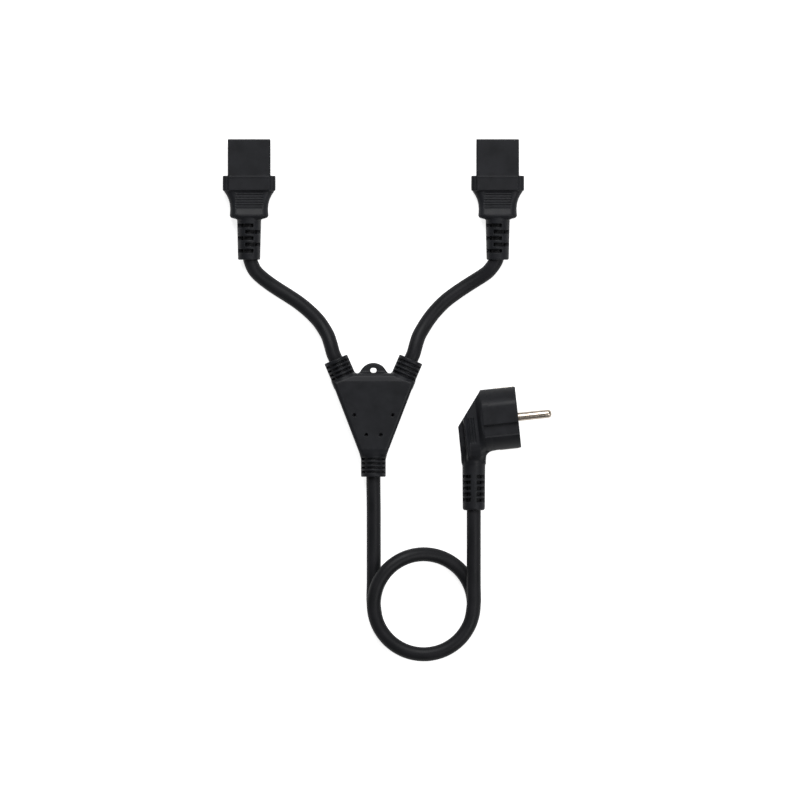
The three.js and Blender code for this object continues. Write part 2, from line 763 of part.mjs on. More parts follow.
function gripRibGrooves() {
  const grooves = [];
  for (let i = 0; i < RIB_COUNT; i += 1) {
    const behind = FLANGE_EDGE + i * RIB_PITCH;
    const y = -GRIP_START - behind;
    const floor = gripHalfHeight(behind) - RIB_GROOVE_DEPTH;
    const [x, w, top] = [RIB_LENGTH / 2, RIB_GROOVE_WIDTH / 2, NOSE_HEIGHT / 2 + CUT_OVERRUN];
    grooves.push(block([-x, y - w, floor], [x, y + w, top]));
    grooves.push(block([-x, y - w, -top], [x, y + w, -floor]));
  }
  return grooves;
}

function connectorRelief() {
  const profile = [
    [0, -GRIP_END + CUT_OVERRUN],
    [CONNECTOR_RELIEF_ROOT_DIAMETER / 2, -GRIP_END + CUT_OVERRUN],
    [CONNECTOR_RELIEF_END_DIAMETER / 2, COLLAR_EDGE - CONNECTOR_RELIEF_END],
    [CONNECTOR_RELIEF_END_DIAMETER / 2 - COLLAR_EDGE, -CONNECTOR_RELIEF_END],
    [0, -CONNECTOR_RELIEF_END],
  ];
  return turned(profile.reverse(), 20);
}

// Slots cut in from above and below, by turns from the left and from the right past the middle
function connectorReliefSlots() {
  const slots = [];
  const reach = CONNECTOR_RELIEF_ROOT_DIAMETER;
  const rib = CONNECTOR_SIDE_RIB / 2;
  for (let i = 0; i < CONNECTOR_SLOT_COUNT; i += 1) {
    const y = -CONNECTOR_RELIEF_END + CONNECTOR_FIRST_SLOT + i * CONNECTOR_SLOT_PITCH;
    const [low, high] = [y - CONNECTOR_SLOT_WIDTH / 2, y + CONNECTOR_SLOT_WIDTH / 2];
    const [left, right] = i % 2 === 0 ? [-reach, CONNECTOR_SLOT_OVERLAP] : [-CONNECTOR_SLOT_OVERLAP, reach];
    slots.push(block([left, low, rib], [right, high, reach]));
    slots.push(block([left, low, -reach], [right, high, -rib]));
  }
  return slots;
}

// Bore for the sheath, which flares at the mouth where the cord bends away
function connectorBore() {
  const radius = CORD_RADIUS + FIT_GAP;
  const slope = (MOUTH_FLARE_DIAMETER / 2 - radius) / MOUTH_FLARE_DEPTH;
  const profile = [
    [0, -CONNECTOR_RELIEF_END - CUT_OVERRUN],
    [MOUTH_FLARE_DIAMETER / 2 + slope * CUT_OVERRUN, -CONNECTOR_RELIEF_END - CUT_OVERRUN],
    [radius, MOUTH_FLARE_DEPTH - CONNECTOR_RELIEF_END],
    [radius, 2 * FIT_GAP - CONNECTOR_SHEATH_END],
    [0, 2 * FIT_GAP - CONNECTOR_SHEATH_END],
  ];
  return turned(profile, 16);
}

function contactPlace(core) {
  const x = (core.side * CONTACT_SPACING) / 2;
  return [x, core.side === 0 ? -CONTACT_OFFSET : CONTACT_OFFSET];
}

function connectorCoreRoute(core) {
  const sheathEnd = point(0, -CONNECTOR_SHEATH_END, 0);
  const start = coreStart(sheathEnd, ALONG_Y, core.angle);
  const [x, z] = contactPlace(core);
  const endY = -CONTACT_END - FIT_GAP;
  return [
    start,
    moved(start, ALONG_Y, CORE_RADIUS),
    point(x, endY - CORE_DIAMETER * 1.5, z),
    point(x, endY, z),
  ];
}

function contactSleeve(core) {
  const [x, z] = contactPlace(core);
  const [w, h, wall] = [CONTACT_WIDTH / 2, CONTACT_HEIGHT / 2, CONTACT_WALL];
  const back = -CONTACT_FRONT - CONTACT_LENGTH;
  const base = back + 2 * wall;
  const body = join([
    block([-w, back, -h], [w, -CONTACT_FRONT, h]),
    rod(point(0, base, 0), point(0, -CONTACT_END, 0), BARREL_DIAMETER / 2, 12),
  ]);
  const hollow = [
    block([wall - w, base, wall - h], [w - wall, CUT_OVERRUN, h - wall]),
    rod(point(0, -CONTACT_END - CUT_OVERRUN, 0), point(0, BARREL_BORE_DEPTH - CONTACT_END, 0),
      BARREL_BORE / 2, 12),
  ];
  return geometryOf(cut(body, hollow)).translate(x, 0, z);
}

// Room for one contact: the chamber of its sleeve, the entry slot in front and its barrel behind
function contactRoom(core) {
  const [x, z] = contactPlace(core);
  const [w, h] = [CONTACT_WIDTH / 2 + FIT_GAP, CONTACT_HEIGHT / 2 + FIT_GAP];
  const [ew, eh] = [ENTRY_WIDTH / 2, ENTRY_HEIGHT / 2];
  return [
    block([-w, -CONTACT_FRONT - CONTACT_LENGTH - FIT_GAP, -h], [w, FIT_GAP - CONTACT_FRONT, h]),
    block([-ew, -CONTACT_FRONT - FIT_GAP, -eh], [ew, CUT_OVERRUN, eh]),
    rod(point(0, -CONTACT_FRONT - CONTACT_LENGTH, 0), point(0, -CONTACT_END - FIT_GAP, 0),
      BARREL_DIAMETER / 2 + FIT_GAP, 12),
  ].map((geometry) => geometry.translate(x, 0, z));
}

function connector(side, x) {
  const group = new THREE.Group();
  const halfHeight = NOSE_HEIGHT / 2;
  const wings = common([
    plate(gripPlan(), -halfHeight, halfHeight, FLANGE_EDGE),
    barAlongX(gripSide(), -FLANGE_WIDTH, FLANGE_WIDTH),
  ]);
  const nose = barAlongY(noseOutline(0), -NOSE_LENGTH - FLANGE_EDGE, 0, NOSE_TIP_EDGE);
  const insertEnd = -INSERT_RECESS - INSERT_LENGTH;
  const pocket = barAlongY(noseOutline(NOSE_WALL - FIT_GAP), insertEnd - FIT_GAP, CUT_OVERRUN);
  const rooms = CORES.flatMap(contactRoom);
  const routes = CORES.map((core) => ({ core, route: connectorCoreRoute(core) }));
  let moulding = wings.add(solid(nose)).add(solid(connectorRelief()));
  moulding = cut(moulding, [pocket, connectorBore(), ...gripRibGrooves(), ...connectorReliefSlots()]);
  moulding = cut(moulding, [...rooms, ...routes.flatMap(({ route }) => coreChannel(route))]);
  addPiece(group, `${side}_connector_moulding`, geometryOf(moulding), SOFT_PVC);

  const insertBar = barAlongY(noseOutline(NOSE_WALL), insertEnd, -INSERT_RECESS);
  addPiece(group, `${side}_connector_insert`, geometryOf(cut(solid(insertBar), rooms)), HARD_PLASTIC);
  CORES.forEach((core) => {
    addPiece(group, `${side}_${core.name}_contact`, contactSleeve(core), BRASS);
  });
  routes.forEach(({ core, route }) => {
    const tail = geometryOf(coreTail(route, CONDUCTOR_INSERTION));
    addPiece(group, `${side}_${core.name}_core`, tail, CORE_FINISHES[core.name]);
  });
  group.position.set(x, NOSE_TIP_Y, CONNECTOR_AXIS_Z);
  return group;
}

// Mains plug, made with the centre of its face at the origin, its cord towards -Y and its pins
// towards +X, turned up by the head's tilt. In the head's own frame x runs out of the face.

function headTurned(geometry) {
  return geometry.rotateZ(HEAD_TILT);
}

function headPoint(x, y, z = 0) {
  return point(x, y, z).applyAxisAngle(UP, HEAD_TILT);
}

function headCorner(x, y, radius = 0) {
  const corner = headPoint(x, y);
  return [corner.x, corner.y, radius];
}

// Front view of the head in Y and Z: a circle cut flat at the clips and at the sides
function headFront() {
  return circlePoints(HEAD_DIAMETER / 2, 36).map(({ x, y }) => [
    THREE.MathUtils.clamp(x, -HEAD_CLIP_FLATS / 2, HEAD_CLIP_FLATS / 2),
    THREE.MathUtils.clamp(y, -HEAD_SIDE_FLATS / 2, HEAD_SIDE_FLATS / 2),
  ]);
}

function headDisc() {
  const front = new THREE.Shape(headFront().map(([y, z]) => new THREE.Vector2(y, z)));
  return headTurned(plate(front, -HEAD_DEPTH, 0, HEAD_EDGE).rotateX(Math.PI / 2).rotateZ(Math.PI / 2));
}

// Grooves that guide the head between a socket's ribs, opposite each other across the middle
function guideGrooves() {
  const [near, far] = [GUIDE_NEAR_SIDE, GUIDE_NEAR_SIDE + GUIDE_WIDTH];
  const floor = HEAD_SIDE_FLATS / 2 - GUIDE_DEPTH;
  const reach = HEAD_SIDE_FLATS / 2 + CUT_OVERRUN;
  return [
    block([-HEAD_DEPTH, -far, floor], [CUT_OVERRUN, -near, reach]),
    block([-HEAD_DEPTH, near, -reach], [CUT_OVERRUN, far, -floor]),
  ].map(headTurned);
}

// Handle: its side view, its view from above and its view from behind, carried across each other
function handle() {
  const reliefRadius = PLUG_RELIEF_ROOT_DIAMETER / 2;
  const sideView = outline([
    headCorner(-HEAD_DEPTH + NECK_SLOPE_LENGTH, HEAD_CLIP_FLATS / 2 - HEAD_EDGE),
    headCorner(-HEAD_DEPTH, HEAD_CLIP_FLATS / 2 - HEAD_EDGE, NECK_CORNER),
    headCorner(-HANDLE_BACK, HANDLE_BACK_TOP, HANDLE_TOP_CORNER),
    headCorner(-HANDLE_BACK, HANDLE_BACK_FOOT, HANDLE_BACK_CORNER),
    [-PLUG_CORD_OFFSET - reliefRadius, HANDLE_FOOT],
    [-PLUG_CORD_OFFSET + reliefRadius, HANDLE_FOOT],
    [-PLUG_CORD_OFFSET + reliefRadius, HANDLE_BACK_FOOT, HANDLE_THROAT_CORNER],
    headCorner(-HEAD_DEPTH + 2 * NECK_SLOPE_LENGTH, -HEAD_CLIP_FLATS / 2 + HEAD_EDGE),
  ]);
  const topView = mirrored([
    [HEAD_SIDE_FLATS / 2 - HEAD_EDGE, 0],
    [HEAD_SIDE_FLATS / 2 - HEAD_EDGE, HEAD_DEPTH - HEAD_EDGE],
    [HANDLE_WIDTH / 2, HEAD_DEPTH + NECK_SLOPE_LENGTH],
    [HANDLE_WIDTH / 2, HANDLE_BACK - BACK_STEP_START],
    [BACK_STEP_WIDTH / 2, HANDLE_BACK - BACK_STEP_START + BACK_STEP_LENGTH],
    [HANDLE_BACK_WIDTH / 2, HANDLE_BACK + CUT_OVERRUN],
  ]);
  const upperFront = headFront().filter(([y]) => y > -HEAD_DIAMETER / 4);
  const left = upperFront.filter(([, z]) => z < 0);
  const right = upperFront.filter(([, z]) => z >= 0);
  const lower = [...HANDLE_HALF_WIDTHS, [HANDLE_FOOT - 2 * CUT_OVERRUN, reliefRadius]];
  const backView = outline([
    ...left,
    ...right,
    ...lower,
    ...lower.map(([y, z]) => [y, -z]).reverse(),
  ]);
  const reach = HEAD_DIAMETER;
  return common([
    plate(sideView, -reach, reach),
    headTurned(plate(topView, -reach, reach).rotateX(Math.PI / 2).rotateY(-Math.PI / 2)),
    headTurned(barAlongX(backView, -HANDLE_BACK - CUT_OVERRUN, 0)),
  ]);
}

function handleRidgeGrooves() {
  const grooves = [];
  for (let i = 0; i < RIDGE_GROOVE_COUNT; i += 1) {
    const x = -RIDGE_FRONT - i * RIDGE_PITCH;
    const [low, high] = [x - RIDGE_GROOVE_WIDTH / 2, x + RIDGE_GROOVE_WIDTH / 2];
    const floor = HANDLE_WIDTH / 2 - RIDGE_GROOVE_DEPTH;
    const reach = HANDLE_WIDTH / 2 + CUT_OVERRUN;
    grooves.push(block([low, RIDGE_FOOT, floor], [high, RIDGE_TOP, reach]));
    grooves.push(block([low, RIDGE_FOOT, -reach], [high, RIDGE_TOP, -floor]));
  }
  return grooves.map(headTurned);
}

function plugRelief() {
  const [root, end] = [PLUG_RELIEF_ROOT_DIAMETER / 2, PLUG_RELIEF_END_DIAMETER / 2];
  const profile = [
    [0, PLUG_RELIEF_END],
    [end - PLUG_RELIEF_EDGE, PLUG_RELIEF_END],
    [end - PLUG_RELIEF_EDGE / 4, PLUG_RELIEF_END + PLUG_RELIEF_EDGE / 3],
    [end, PLUG_RELIEF_END + PLUG_RELIEF_EDGE],
    [root, HANDLE_FOOT + CUT_OVERRUN],
    [0, HANDLE_FOOT + CUT_OVERRUN],
  ];
  return turned(profile, 20).translate(-PLUG_CORD_OFFSET, 0, 0);
}

// Slots in four quarters, which leave a spine above and below and a rib at each side
function plugReliefSlots() {
  const slots = [];
  const [spine, rib, reach] = [PLUG_SPINE / 2, PLUG_SIDE_RIB / 2, PLUG_RELIEF_ROOT_DIAMETER];
  for (let i = 0; i < PLUG_SLOT_COUNT; i += 1) {
    const y = PLUG_RELIEF_END + PLUG_LAST_SLOT + i * PLUG_SLOT_PITCH;
    const [low, high] = [y - PLUG_SLOT_WIDTH / 2, y + PLUG_SLOT_WIDTH / 2];
    slots.push(block([spine, low, rib], [reach, high, reach]));
    slots.push(block([-reach, low, rib], [-spine, high, reach]));
    slots.push(block([spine, low, -reach], [reach, high, -rib]));
    slots.push(block([-reach, low, -reach], [-spine, high, -rib]));
  }
  return slots.map((slot) => slot.translate(-PLUG_CORD_OFFSET, 0, 0));
}

function alongHead(from, to, y, z, radius, sides = 16) {
  return rod(headPoint(-from, y, z), headPoint(-to, y, z), radius, sides);
}

// The bridge's outline is a disc with a boss round the earth socket
function bridgeBody(gap, front) {
  const back = BRIDGE_RECESS + BRIDGE_DEPTH + gap;
  return join([
    alongHead(front, back, 0, 0, BRIDGE_DIAMETER / 2 + gap, 24),
    alongHead(front, back, EARTH_HOLE_OFFSET, 0, EARTH_BOSS_DIAMETER / 2 + gap),
  ]);
}

function pinPlaces() {
  return [
    { name: 'live', z: PIN_SPACING / 2, angle: 120 },
    { name: 'neutral', z: -PIN_SPACING / 2, angle: 240 },
  ];
}

function pin(z) {
  const radius = PIN_DIAMETER / 2;
  const profile = [
    [0, -PIN_TAIL_END],
    [PIN_TAIL_DIAMETER / 2, -PIN_TAIL_END],
    [PIN_TAIL_DIAMETER / 2, -PIN_SHANK_END],
    [radius, -PIN_SHANK_END],
    [radius, PIN_LENGTH - PIN_TIP_EDGE],
    [radius - PIN_TIP_EDGE / 3, PIN_LENGTH - PIN_TIP_EDGE / 3],
    [radius - PIN_TIP_EDGE, PIN_LENGTH],
    [0, PIN_LENGTH],
  ];
  const place = point(0, 0, z);
  const out = headPoint(1, 0);
  const boreEnd = PIN_TAIL_END - BARREL_BORE_DEPTH;
  const bore = alongHead(PIN_TAIL_END + CUT_OVERRUN, boreEnd, 0, z, BARREL_BORE / 2, 12);
  return geometryOf(cut(solid(aim(turned(profile, 16), place, out)), [bore]));
}

function pinRoom(z) {
  return [
    alongHead(-CUT_OVERRUN, PIN_SHANK_END + FIT_GAP, 0, z, PIN_DIAMETER / 2 + FIT_GAP),
    alongHead(PIN_SHANK_END, PIN_TAIL_END + FIT_GAP, 0, z, PIN_TAIL_DIAMETER / 2 + FIT_GAP, 12),
  ];
}

// Earth strap seen from the side: two arms on the head's flats and a bar that joins them inside
function earthStrap() {
  const [face, inner] = [CLIP_FACE, CLIP_FACE - STRAP_THICKNESS];
  const arm = STRAP_BACK - STRAP_THICKNESS;
  const shape = outline([
    [-STRAP_FRONT, face],
    [-STRAP_BACK, face],
    [-STRAP_BACK, -face],
    [-STRAP_FRONT, -face],
    [-STRAP_FRONT, -inner],
    [-arm, -inner],
    [-arm, inner],
    [-STRAP_FRONT, inner],
  ]);
  return headTurned(plate(shape, -STRAP_WIDTH / 2, STRAP_WIDTH / 2));
}

function earthStrapRoom() {
  const half = STRAP_WIDTH / 2 + FIT_GAP;
  const inner = CLIP_FACE - STRAP_THICKNESS - FIT_GAP;
  const reach = HEAD_DIAMETER / 2 + CUT_OVERRUN;
  const back = -STRAP_BACK - FIT_GAP;
  return [
    block([back, inner, -half], [CUT_OVERRUN, reach, half]),
    block([back, -reach, -half], [CUT_OVERRUN, -inner, half]),
    block([back, -reach, -half], [STRAP_THICKNESS + FIT_GAP - STRAP_BACK, reach, half]),
  ].map(headTurned);
}

function earthSocket() {
  const front = BRIDGE_RECESS + EARTH_ENTRY_WALL + FIT_GAP;
  const back = STRAP_BACK - STRAP_THICKNESS - FIT_GAP;
  const sleeveBody = solid(alongHead(front, back, EARTH_HOLE_OFFSET, 0, EARTH_SOCKET_RADIUS));
  const bore = alongHead(-CUT_OVERRUN, back + CUT_OVERRUN, EARTH_HOLE_OFFSET, 0, EARTH_SOCKET_BORE / 2);
  return geometryOf(cut(sleeveBody, [bore]));
}

function earthSocketRoom() {
  const front = BRIDGE_RECESS + EARTH_ENTRY_WALL;
  return [
    alongHead(-CUT_OVERRUN, front + CUT_OVERRUN, EARTH_HOLE_OFFSET, 0, EARTH_ENTRY_DIAMETER / 2),
    alongHead(front, STRAP_BACK, EARTH_HOLE_OFFSET, 0, EARTH_SOCKET_RADIUS + FIT_GAP),
  ];
}

function plugCoreStart(angle) {
  const sheathEnd = point(-PLUG_CORD_OFFSET, PLUG_SHEATH_END, 0);
  return coreStart(sheathEnd, ALONG_Y, angle);
}

function pinCoreRoute({ z, angle }) {
  const start = plugCoreStart(angle);
  const end = PIN_TAIL_END + FIT_GAP;
  return [
    start,
    moved(start, ALONG_Y, CORE_DIAMETER),
    point(start.x, start.y / 2, z / 2),
    headPoint(-end - 2.3 * CORE_DIAMETER, -CORE_DIAMETER / 2, z * 0.95),
    headPoint(-end - CORE_RADIUS, 0, z),
    headPoint(-end, 0, z),
  ];
}

function earthCoreRoute() {
  const start = plugCoreStart(0);
  const end = STRAP_BACK + FIT_GAP;
  return [
    start,
    moved(start, ALONG_Y, CORE_DIAMETER),
    headPoint(-end - 1.6 * CORE_DIAMETER, EARTH_CORE_LANDING - CORE_RADIUS),
    headPoint(-end - CORE_RADIUS, EARTH_CORE_LANDING),
    headPoint(-end, EARTH_CORE_LANDING),
  ];
}

function plug() {
  const group = new THREE.Group();
  const pins = pinPlaces();
  const pinRooms = pins.flatMap(({ z }) => pinRoom(z));
  const pinRoutes = pins.map((place) => ({ name: place.name, route: pinCoreRoute(place) }));
  const earthRoute = earthCoreRoute();
  const channels = [...pinRoutes.map(({ route }) => route), earthRoute].flatMap(coreChannel);
  const sheathMouth = point(-PLUG_CORD_OFFSET, PLUG_RELIEF_END - CUT_OVERRUN, 0);
  const sheathTop = point(-PLUG_CORD_OFFSET, PLUG_SHEATH_END + 2 * FIT_GAP, 0);

  let moulding = handle().add(solid(headDisc())).add(solid(plugRelief()));
  moulding = cut(moulding, [...guideGrooves(), ...handleRidgeGrooves(), ...plugReliefSlots()]);
  moulding = moulding.subtract(bridgeBody(FIT_GAP, -CUT_OVERRUN));
  moulding = cut(moulding, [...pinRooms, ...earthStrapRoom(), ...earthSocketRoom()]);
  moulding = cut(moulding, [rod(sheathMouth, sheathTop, CORD_RADIUS + FIT_GAP), ...channels]);
  addPiece(group, 'plug_moulding', geometryOf(moulding), SOFT_PVC);

  const bridge = cut(bridgeBody(0, BRIDGE_RECESS), [...pinRooms, ...earthSocketRoom()]);
  addPiece(group, 'plug_bridge', geometryOf(bridge), HARD_PLASTIC);
  pins.forEach(({ name, z }) => addPiece(group, `${name}_pin`, pin(z), NICKEL));
  addPiece(group, 'earth_strap', earthStrap(), NICKEL);
  addPiece(group, 'earth_socket', earthSocket(), BRASS);
  pinRoutes.forEach(({ name, route }) => {
    const tail = geometryOf(coreTail(route, CONDUCTOR_INSERTION));
    addPiece(group, `plug_${name}_core`, tail, CORE_FINISHES[name]);
  });
  addPiece(group, 'plug_earth_core', geometryOf(coreTail(earthRoute, 0)), CORE_FINISHES.earth);
  group.position.set(PLUG_X, PLUG_Y, PLUG_AXIS_Z);
  return group;
}

// Cords

// The loop's turns, from the left side down and round: low at first, then up and over the first pass
function loopPoints() {
  const points = [];
  for (let turned = 0; turned <= 360 * LOOP_TURNS; turned += LOOP_STEP) {
    const angle = THREE.MathUtils.degToRad(180 + turned);
    const rise = THREE.MathUtils.smoothstep(turned, LOOP_RISE_START, LOOP_RISE_END);
    points.push([
      LOOP_CENTRE_X + LOOP_RADIUS * Math.cos(angle),
      LOOP_CENTRE_Y + LOOP_RADIUS * Math.sin(angle),
      THREE.MathUtils.lerp(CORD_REST_HEIGHT, LOOP_TOP_HEIGHT, rise),
    ]);
  }
  return points;
}

// Each cord starts at its sheath's end in the Y-joint and runs straight through its collar
function cord(entry, route, end, steps) {
  const inside = moved(entry.end, entry.inward, CORD_STRAIGHT_INSIDE);
  const outside = moved(entry.end, entry.inward, -CORD_STRAIGHT_OUTSIDE);
  const lead = [entry.sheathEnd, inside, entry.end, outside];
  const points = [...lead, ...route.map(([x, y, z]) => point(x, y, z)), end];
  return tube(points, CORD_RADIUS, CORD_SIDES, steps);
}

function cords() {
  const group = new THREE.Group();
  const [main, left, right] = jointEntries();
  const plugEnd = point(PLUG_X - PLUG_CORD_OFFSET, PLUG_Y + PLUG_SHEATH_END, PLUG_AXIS_Z);
  const connectorEnd = (side) => point((side * CONNECTOR_SPACING) / 2, NOSE_TIP_Y - CONNECTOR_SHEATH_END,
    CONNECTOR_AXIS_Z);
  const mainRoute = [...MAIN_OUT, ...loopPoints(), ...MAIN_TO_PLUG];
  const mainCord = cord(main, mainRoute, plugEnd, MAIN_CORD_STEPS);
  const leftCord = cord(left, LEFT_BRANCH, connectorEnd(-1), BRANCH_CORD_STEPS);
  const rightCord = cord(right, RIGHT_BRANCH, connectorEnd(1), BRANCH_CORD_STEPS);
  addPiece(group, 'main_cord', mainCord, CORD_PVC);
  addPiece(group, 'left_branch_cord', leftCord, CORD_PVC);
  addPiece(group, 'right_branch_cord', rightCord, CORD_PVC);
  return group;
}

const splitter = new THREE.Group();
splitter.add(yJoint());
splitter.add(connector('left', -CONNECTOR_SPACING / 2));
splitter.add(connector('right', CONNECTOR_SPACING / 2));
splitter.add(plug());
splitter.add(cords());

export default splitter;
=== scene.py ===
# %% [markdown]
# # A power cord splitter
# An angled earthed mains plug on a round black cord, which lies in one and a half turns and runs into a
# moulded Y-joint. Two short cords leave the joint, each to a three-pole appliance connector. Everything
# you see is soft black PVC, except the plug's pins and its earth strap.
#
# The CAD model gives every size and place. This lesson keeps its hidden pieces, gives them finishes, and
# makes the visible ones again with the soft edges, fillets and fine ribs that a moulding has.

# %% Frame
import math

import bpy
import numpy as np
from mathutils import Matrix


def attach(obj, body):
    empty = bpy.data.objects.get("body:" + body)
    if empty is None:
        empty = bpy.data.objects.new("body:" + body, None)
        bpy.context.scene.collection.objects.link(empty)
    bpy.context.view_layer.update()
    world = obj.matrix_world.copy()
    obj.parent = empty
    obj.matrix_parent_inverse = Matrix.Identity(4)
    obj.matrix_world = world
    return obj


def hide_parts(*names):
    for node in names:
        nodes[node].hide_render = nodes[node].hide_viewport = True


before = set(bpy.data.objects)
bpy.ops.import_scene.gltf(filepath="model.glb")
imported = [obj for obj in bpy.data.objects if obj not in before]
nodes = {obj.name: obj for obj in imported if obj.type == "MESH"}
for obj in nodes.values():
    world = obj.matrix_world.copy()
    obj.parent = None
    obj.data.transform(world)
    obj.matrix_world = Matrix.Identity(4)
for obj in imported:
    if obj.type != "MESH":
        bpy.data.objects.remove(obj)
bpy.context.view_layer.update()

# %% [markdown]
# ## Camera
# The picture looks straight down. A camera far away with a long lens sees almost parallel rays, and an
# orthographic camera sees exactly parallel ones, so each millimetre is the same number of pixels whatever
# its height. The picture shows 1.77 pixels for each millimetre.

# %% Camera
MM = 0.001
PICTURE_PIXELS = 800
PIXELS_PER_MM = 1.77
VIEW_CENTRE = (15.03, 8.9)
CAMERA_HEIGHT = 1500

camera_data = bpy.data.cameras.new("camera")
camera_data.type = "ORTHO"
camera_data.ortho_scale = PICTURE_PIXELS / PIXELS_PER_MM * MM
camera = bpy.data.objects.new("camera", camera_data)
camera.location = (VIEW_CENTRE[0] * MM, VIEW_CENTRE[1] * MM, CAMERA_HEIGHT * MM)
bpy.context.scene.collection.objects.link(camera)
bpy.context.scene.camera = camera
print("The camera sees", round(camera_data.ortho_scale * 1000), "mm each way.")

# %% [markdown]
# ## Mesh helper
# Shapes are worked out as numpy arrays in millimetres, and one helper puts them into a mesh in metres. A
# UV map, where a piece has one, runs around it and along it in millimetres, so that streaks and stripes
# can follow the piece.

# %% Mesh helper
def make_piece(name, points, faces, uv=None):
    """A smooth mesh object from points in mm, faces as lists of point numbers, and a UV for each point."""
    mesh = bpy.data.meshes.new(name)
    mesh.from_pydata((np.asarray(points) * MM).tolist(), [], faces)
    mesh.polygons.foreach_set("use_smooth", np.ones(len(mesh.polygons), bool))
    if uv is not None:
        corner = np.empty(len(mesh.loops), np.int32)
        mesh.loops.foreach_get("vertex_index", corner)
        layer = mesh.uv_layers.new(name="surface")
        layer.uv.foreach_set("vector", np.asarray(uv, np.float32)[corner].ravel())
    mesh.update()
    made = bpy.data.objects.new(name, mesh)
    bpy.context.scene.collection.objects.link(made)
    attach(made, "root")
    return made


def grid_faces(rows, columns):
    """Quads between neighbouring rows of a grid whose columns close into rings, and a cap on each end."""
    i, j = np.meshgrid(np.arange(rows - 1), np.arange(columns), indexing="ij")
    k = (j + 1) % columns
    quads = np.stack([i * columns + j, i * columns + k, (i + 1) * columns + k, (i + 1) * columns + j], -1)
    first = list(range(columns))[::-1]
    last = [(rows - 1) * columns + n for n in range(columns)]
    return quads.reshape(-1, 4).tolist() + [first, last]


# %% [markdown]
# ## Cords
# A mains cord is stiff: it leaves each moulding straight, comes down to the table under its own weight and
# bends in wide curves. Each cord is one round section carried along a smooth curve through listed points.
# The main cord's loop comes from a formula: it starts on the table and climbs over its own first pass, one
# cord's thickness higher.

# %% Cord routes
CORD_DIAMETER = 8.0
TABLE_HEIGHT = 4.08
LOOP_GAP = 0.17
UPPER_HEIGHT = TABLE_HEIGHT + CORD_DIAMETER + LOOP_GAP
LOOP_CENTRE = (28.45, -106.5)
LOOP_RADIUS = 28.25
CLIMB = (224, 316)
JOINT_HEIGHT = 8.2
JOINT_REACH = 34.5
COLLAR_ANGLE = math.radians(23.2)
COLLAR_X = 21.3
COLLAR_SETBACK = 6.4
SHEATH_DEPTH = 15.0
PLUG_PLACE = np.array([81.8, -0.65, 16.6])
PLUG_CORD_X = 56.7
CONNECTOR_X = 70.2
NOSE_TIP_Y = 156.3
CONNECTOR_HEIGHT = 7.9
CONNECTOR_SHEATH = 38.5


def collar_end(side):
    """Middle of a collar's end face at the joint: side -1 is left, 1 right, and 0 the main cord's."""
    if side == 0:
        return np.array([0, -JOINT_REACH, JOINT_HEIGHT])
    return np.array([side * COLLAR_X, JOINT_REACH - COLLAR_SETBACK * math.sin(COLLAR_ANGLE), JOINT_HEIGHT])


def collar_axis(side):
    """Direction from a collar's end face into the joint."""
    if side == 0:
        return np.array([0.0, 1.0, 0.0])
    return np.array([-side * math.sin(COLLAR_ANGLE), -math.cos(COLLAR_ANGLE), 0.0])


def loop_points():
    """A circle of LOOP_RADIUS from its left side down and round one and a half times. It lies on the table
    first, and between the two angles of CLIMB it rises, as t t (3 - 2 t), to lie over itself."""
    turned = np.arange(0, 541, 22.5)
    angle = np.radians(180 + turned)
    t = np.clip((turned - CLIMB[0]) / (CLIMB[1] - CLIMB[0]), 0, 1)
    rise = t * t * (3 - 2 * t)
    x = LOOP_CENTRE[0] + LOOP_RADIUS * np.cos(angle)
    y = LOOP_CENTRE[1] + LOOP_RADIUS * np.sin(angle)
    return np.stack([x, y, TABLE_HEIGHT + (UPPER_HEIGHT - TABLE_HEIGHT) * rise], -1).tolist()


def collar_lead(side):
    """The straight start of a cord: its sheath's end in the joint, and points in and before the collar."""
    depths = (SHEATH_DEPTH, 7.5, 0.0, -3.6)
    return [(collar_end(side) + depth * collar_axis(side)).tolist() for depth in depths]


main_route = [
    *collar_lead(0),
    [0.1, -45, 7.7], [0.2, -54, 6.3], [0.2, -63, 4.9],
    [0.2, -72, 4.2], [0.2, -80, TABLE_HEIGHT], [0.2, -93, TABLE_HEIGHT],
    *loop_points(),
    [56.7, -96, UPPER_HEIGHT], [56.7, -87, 12.4], [56.7, -79, 13.1], [56.7, -71, 14.5], [56.7, -63, 15.9],
    [56.7, -57.5, 16.5], [56.7, -53.2, 16.6], [56.7, -46, 16.6], [56.7, -36, 16.6],
    [PLUG_CORD_X, PLUG_PLACE[1] - 22.5, 16.6],
]
left_route = [
    *collar_lead(-1),
    [-24.1, 40.3, 7.6], [-25.7, 45.1, 6.4],
    [-28.2, 49.6, 5.2], [-31.4, 54.1, 4.4], [-36.8, 59.5, 4.1], [-42.5, 64.1, TABLE_HEIGHT],
    [-48.2, 67.9, TABLE_HEIGHT], [-53.9, 71.5, 4.1], [-59.2, 75.1, 4.6], [-64.3, 79.2, 5.8],
    [-66.8, 81.9, 6.6], [-68.4, 84.8, 7.3], [-69.5, 88.0, 7.8], [-70.03, 90.7, 7.9], [-70.2, 93.5, 7.9],
    [-70.2, 98, 7.9], [-70.2, 108, 7.9], [-CONNECTOR_X, NOSE_TIP_Y - CONNECTOR_SHEATH, CONNECTOR_HEIGHT],
]
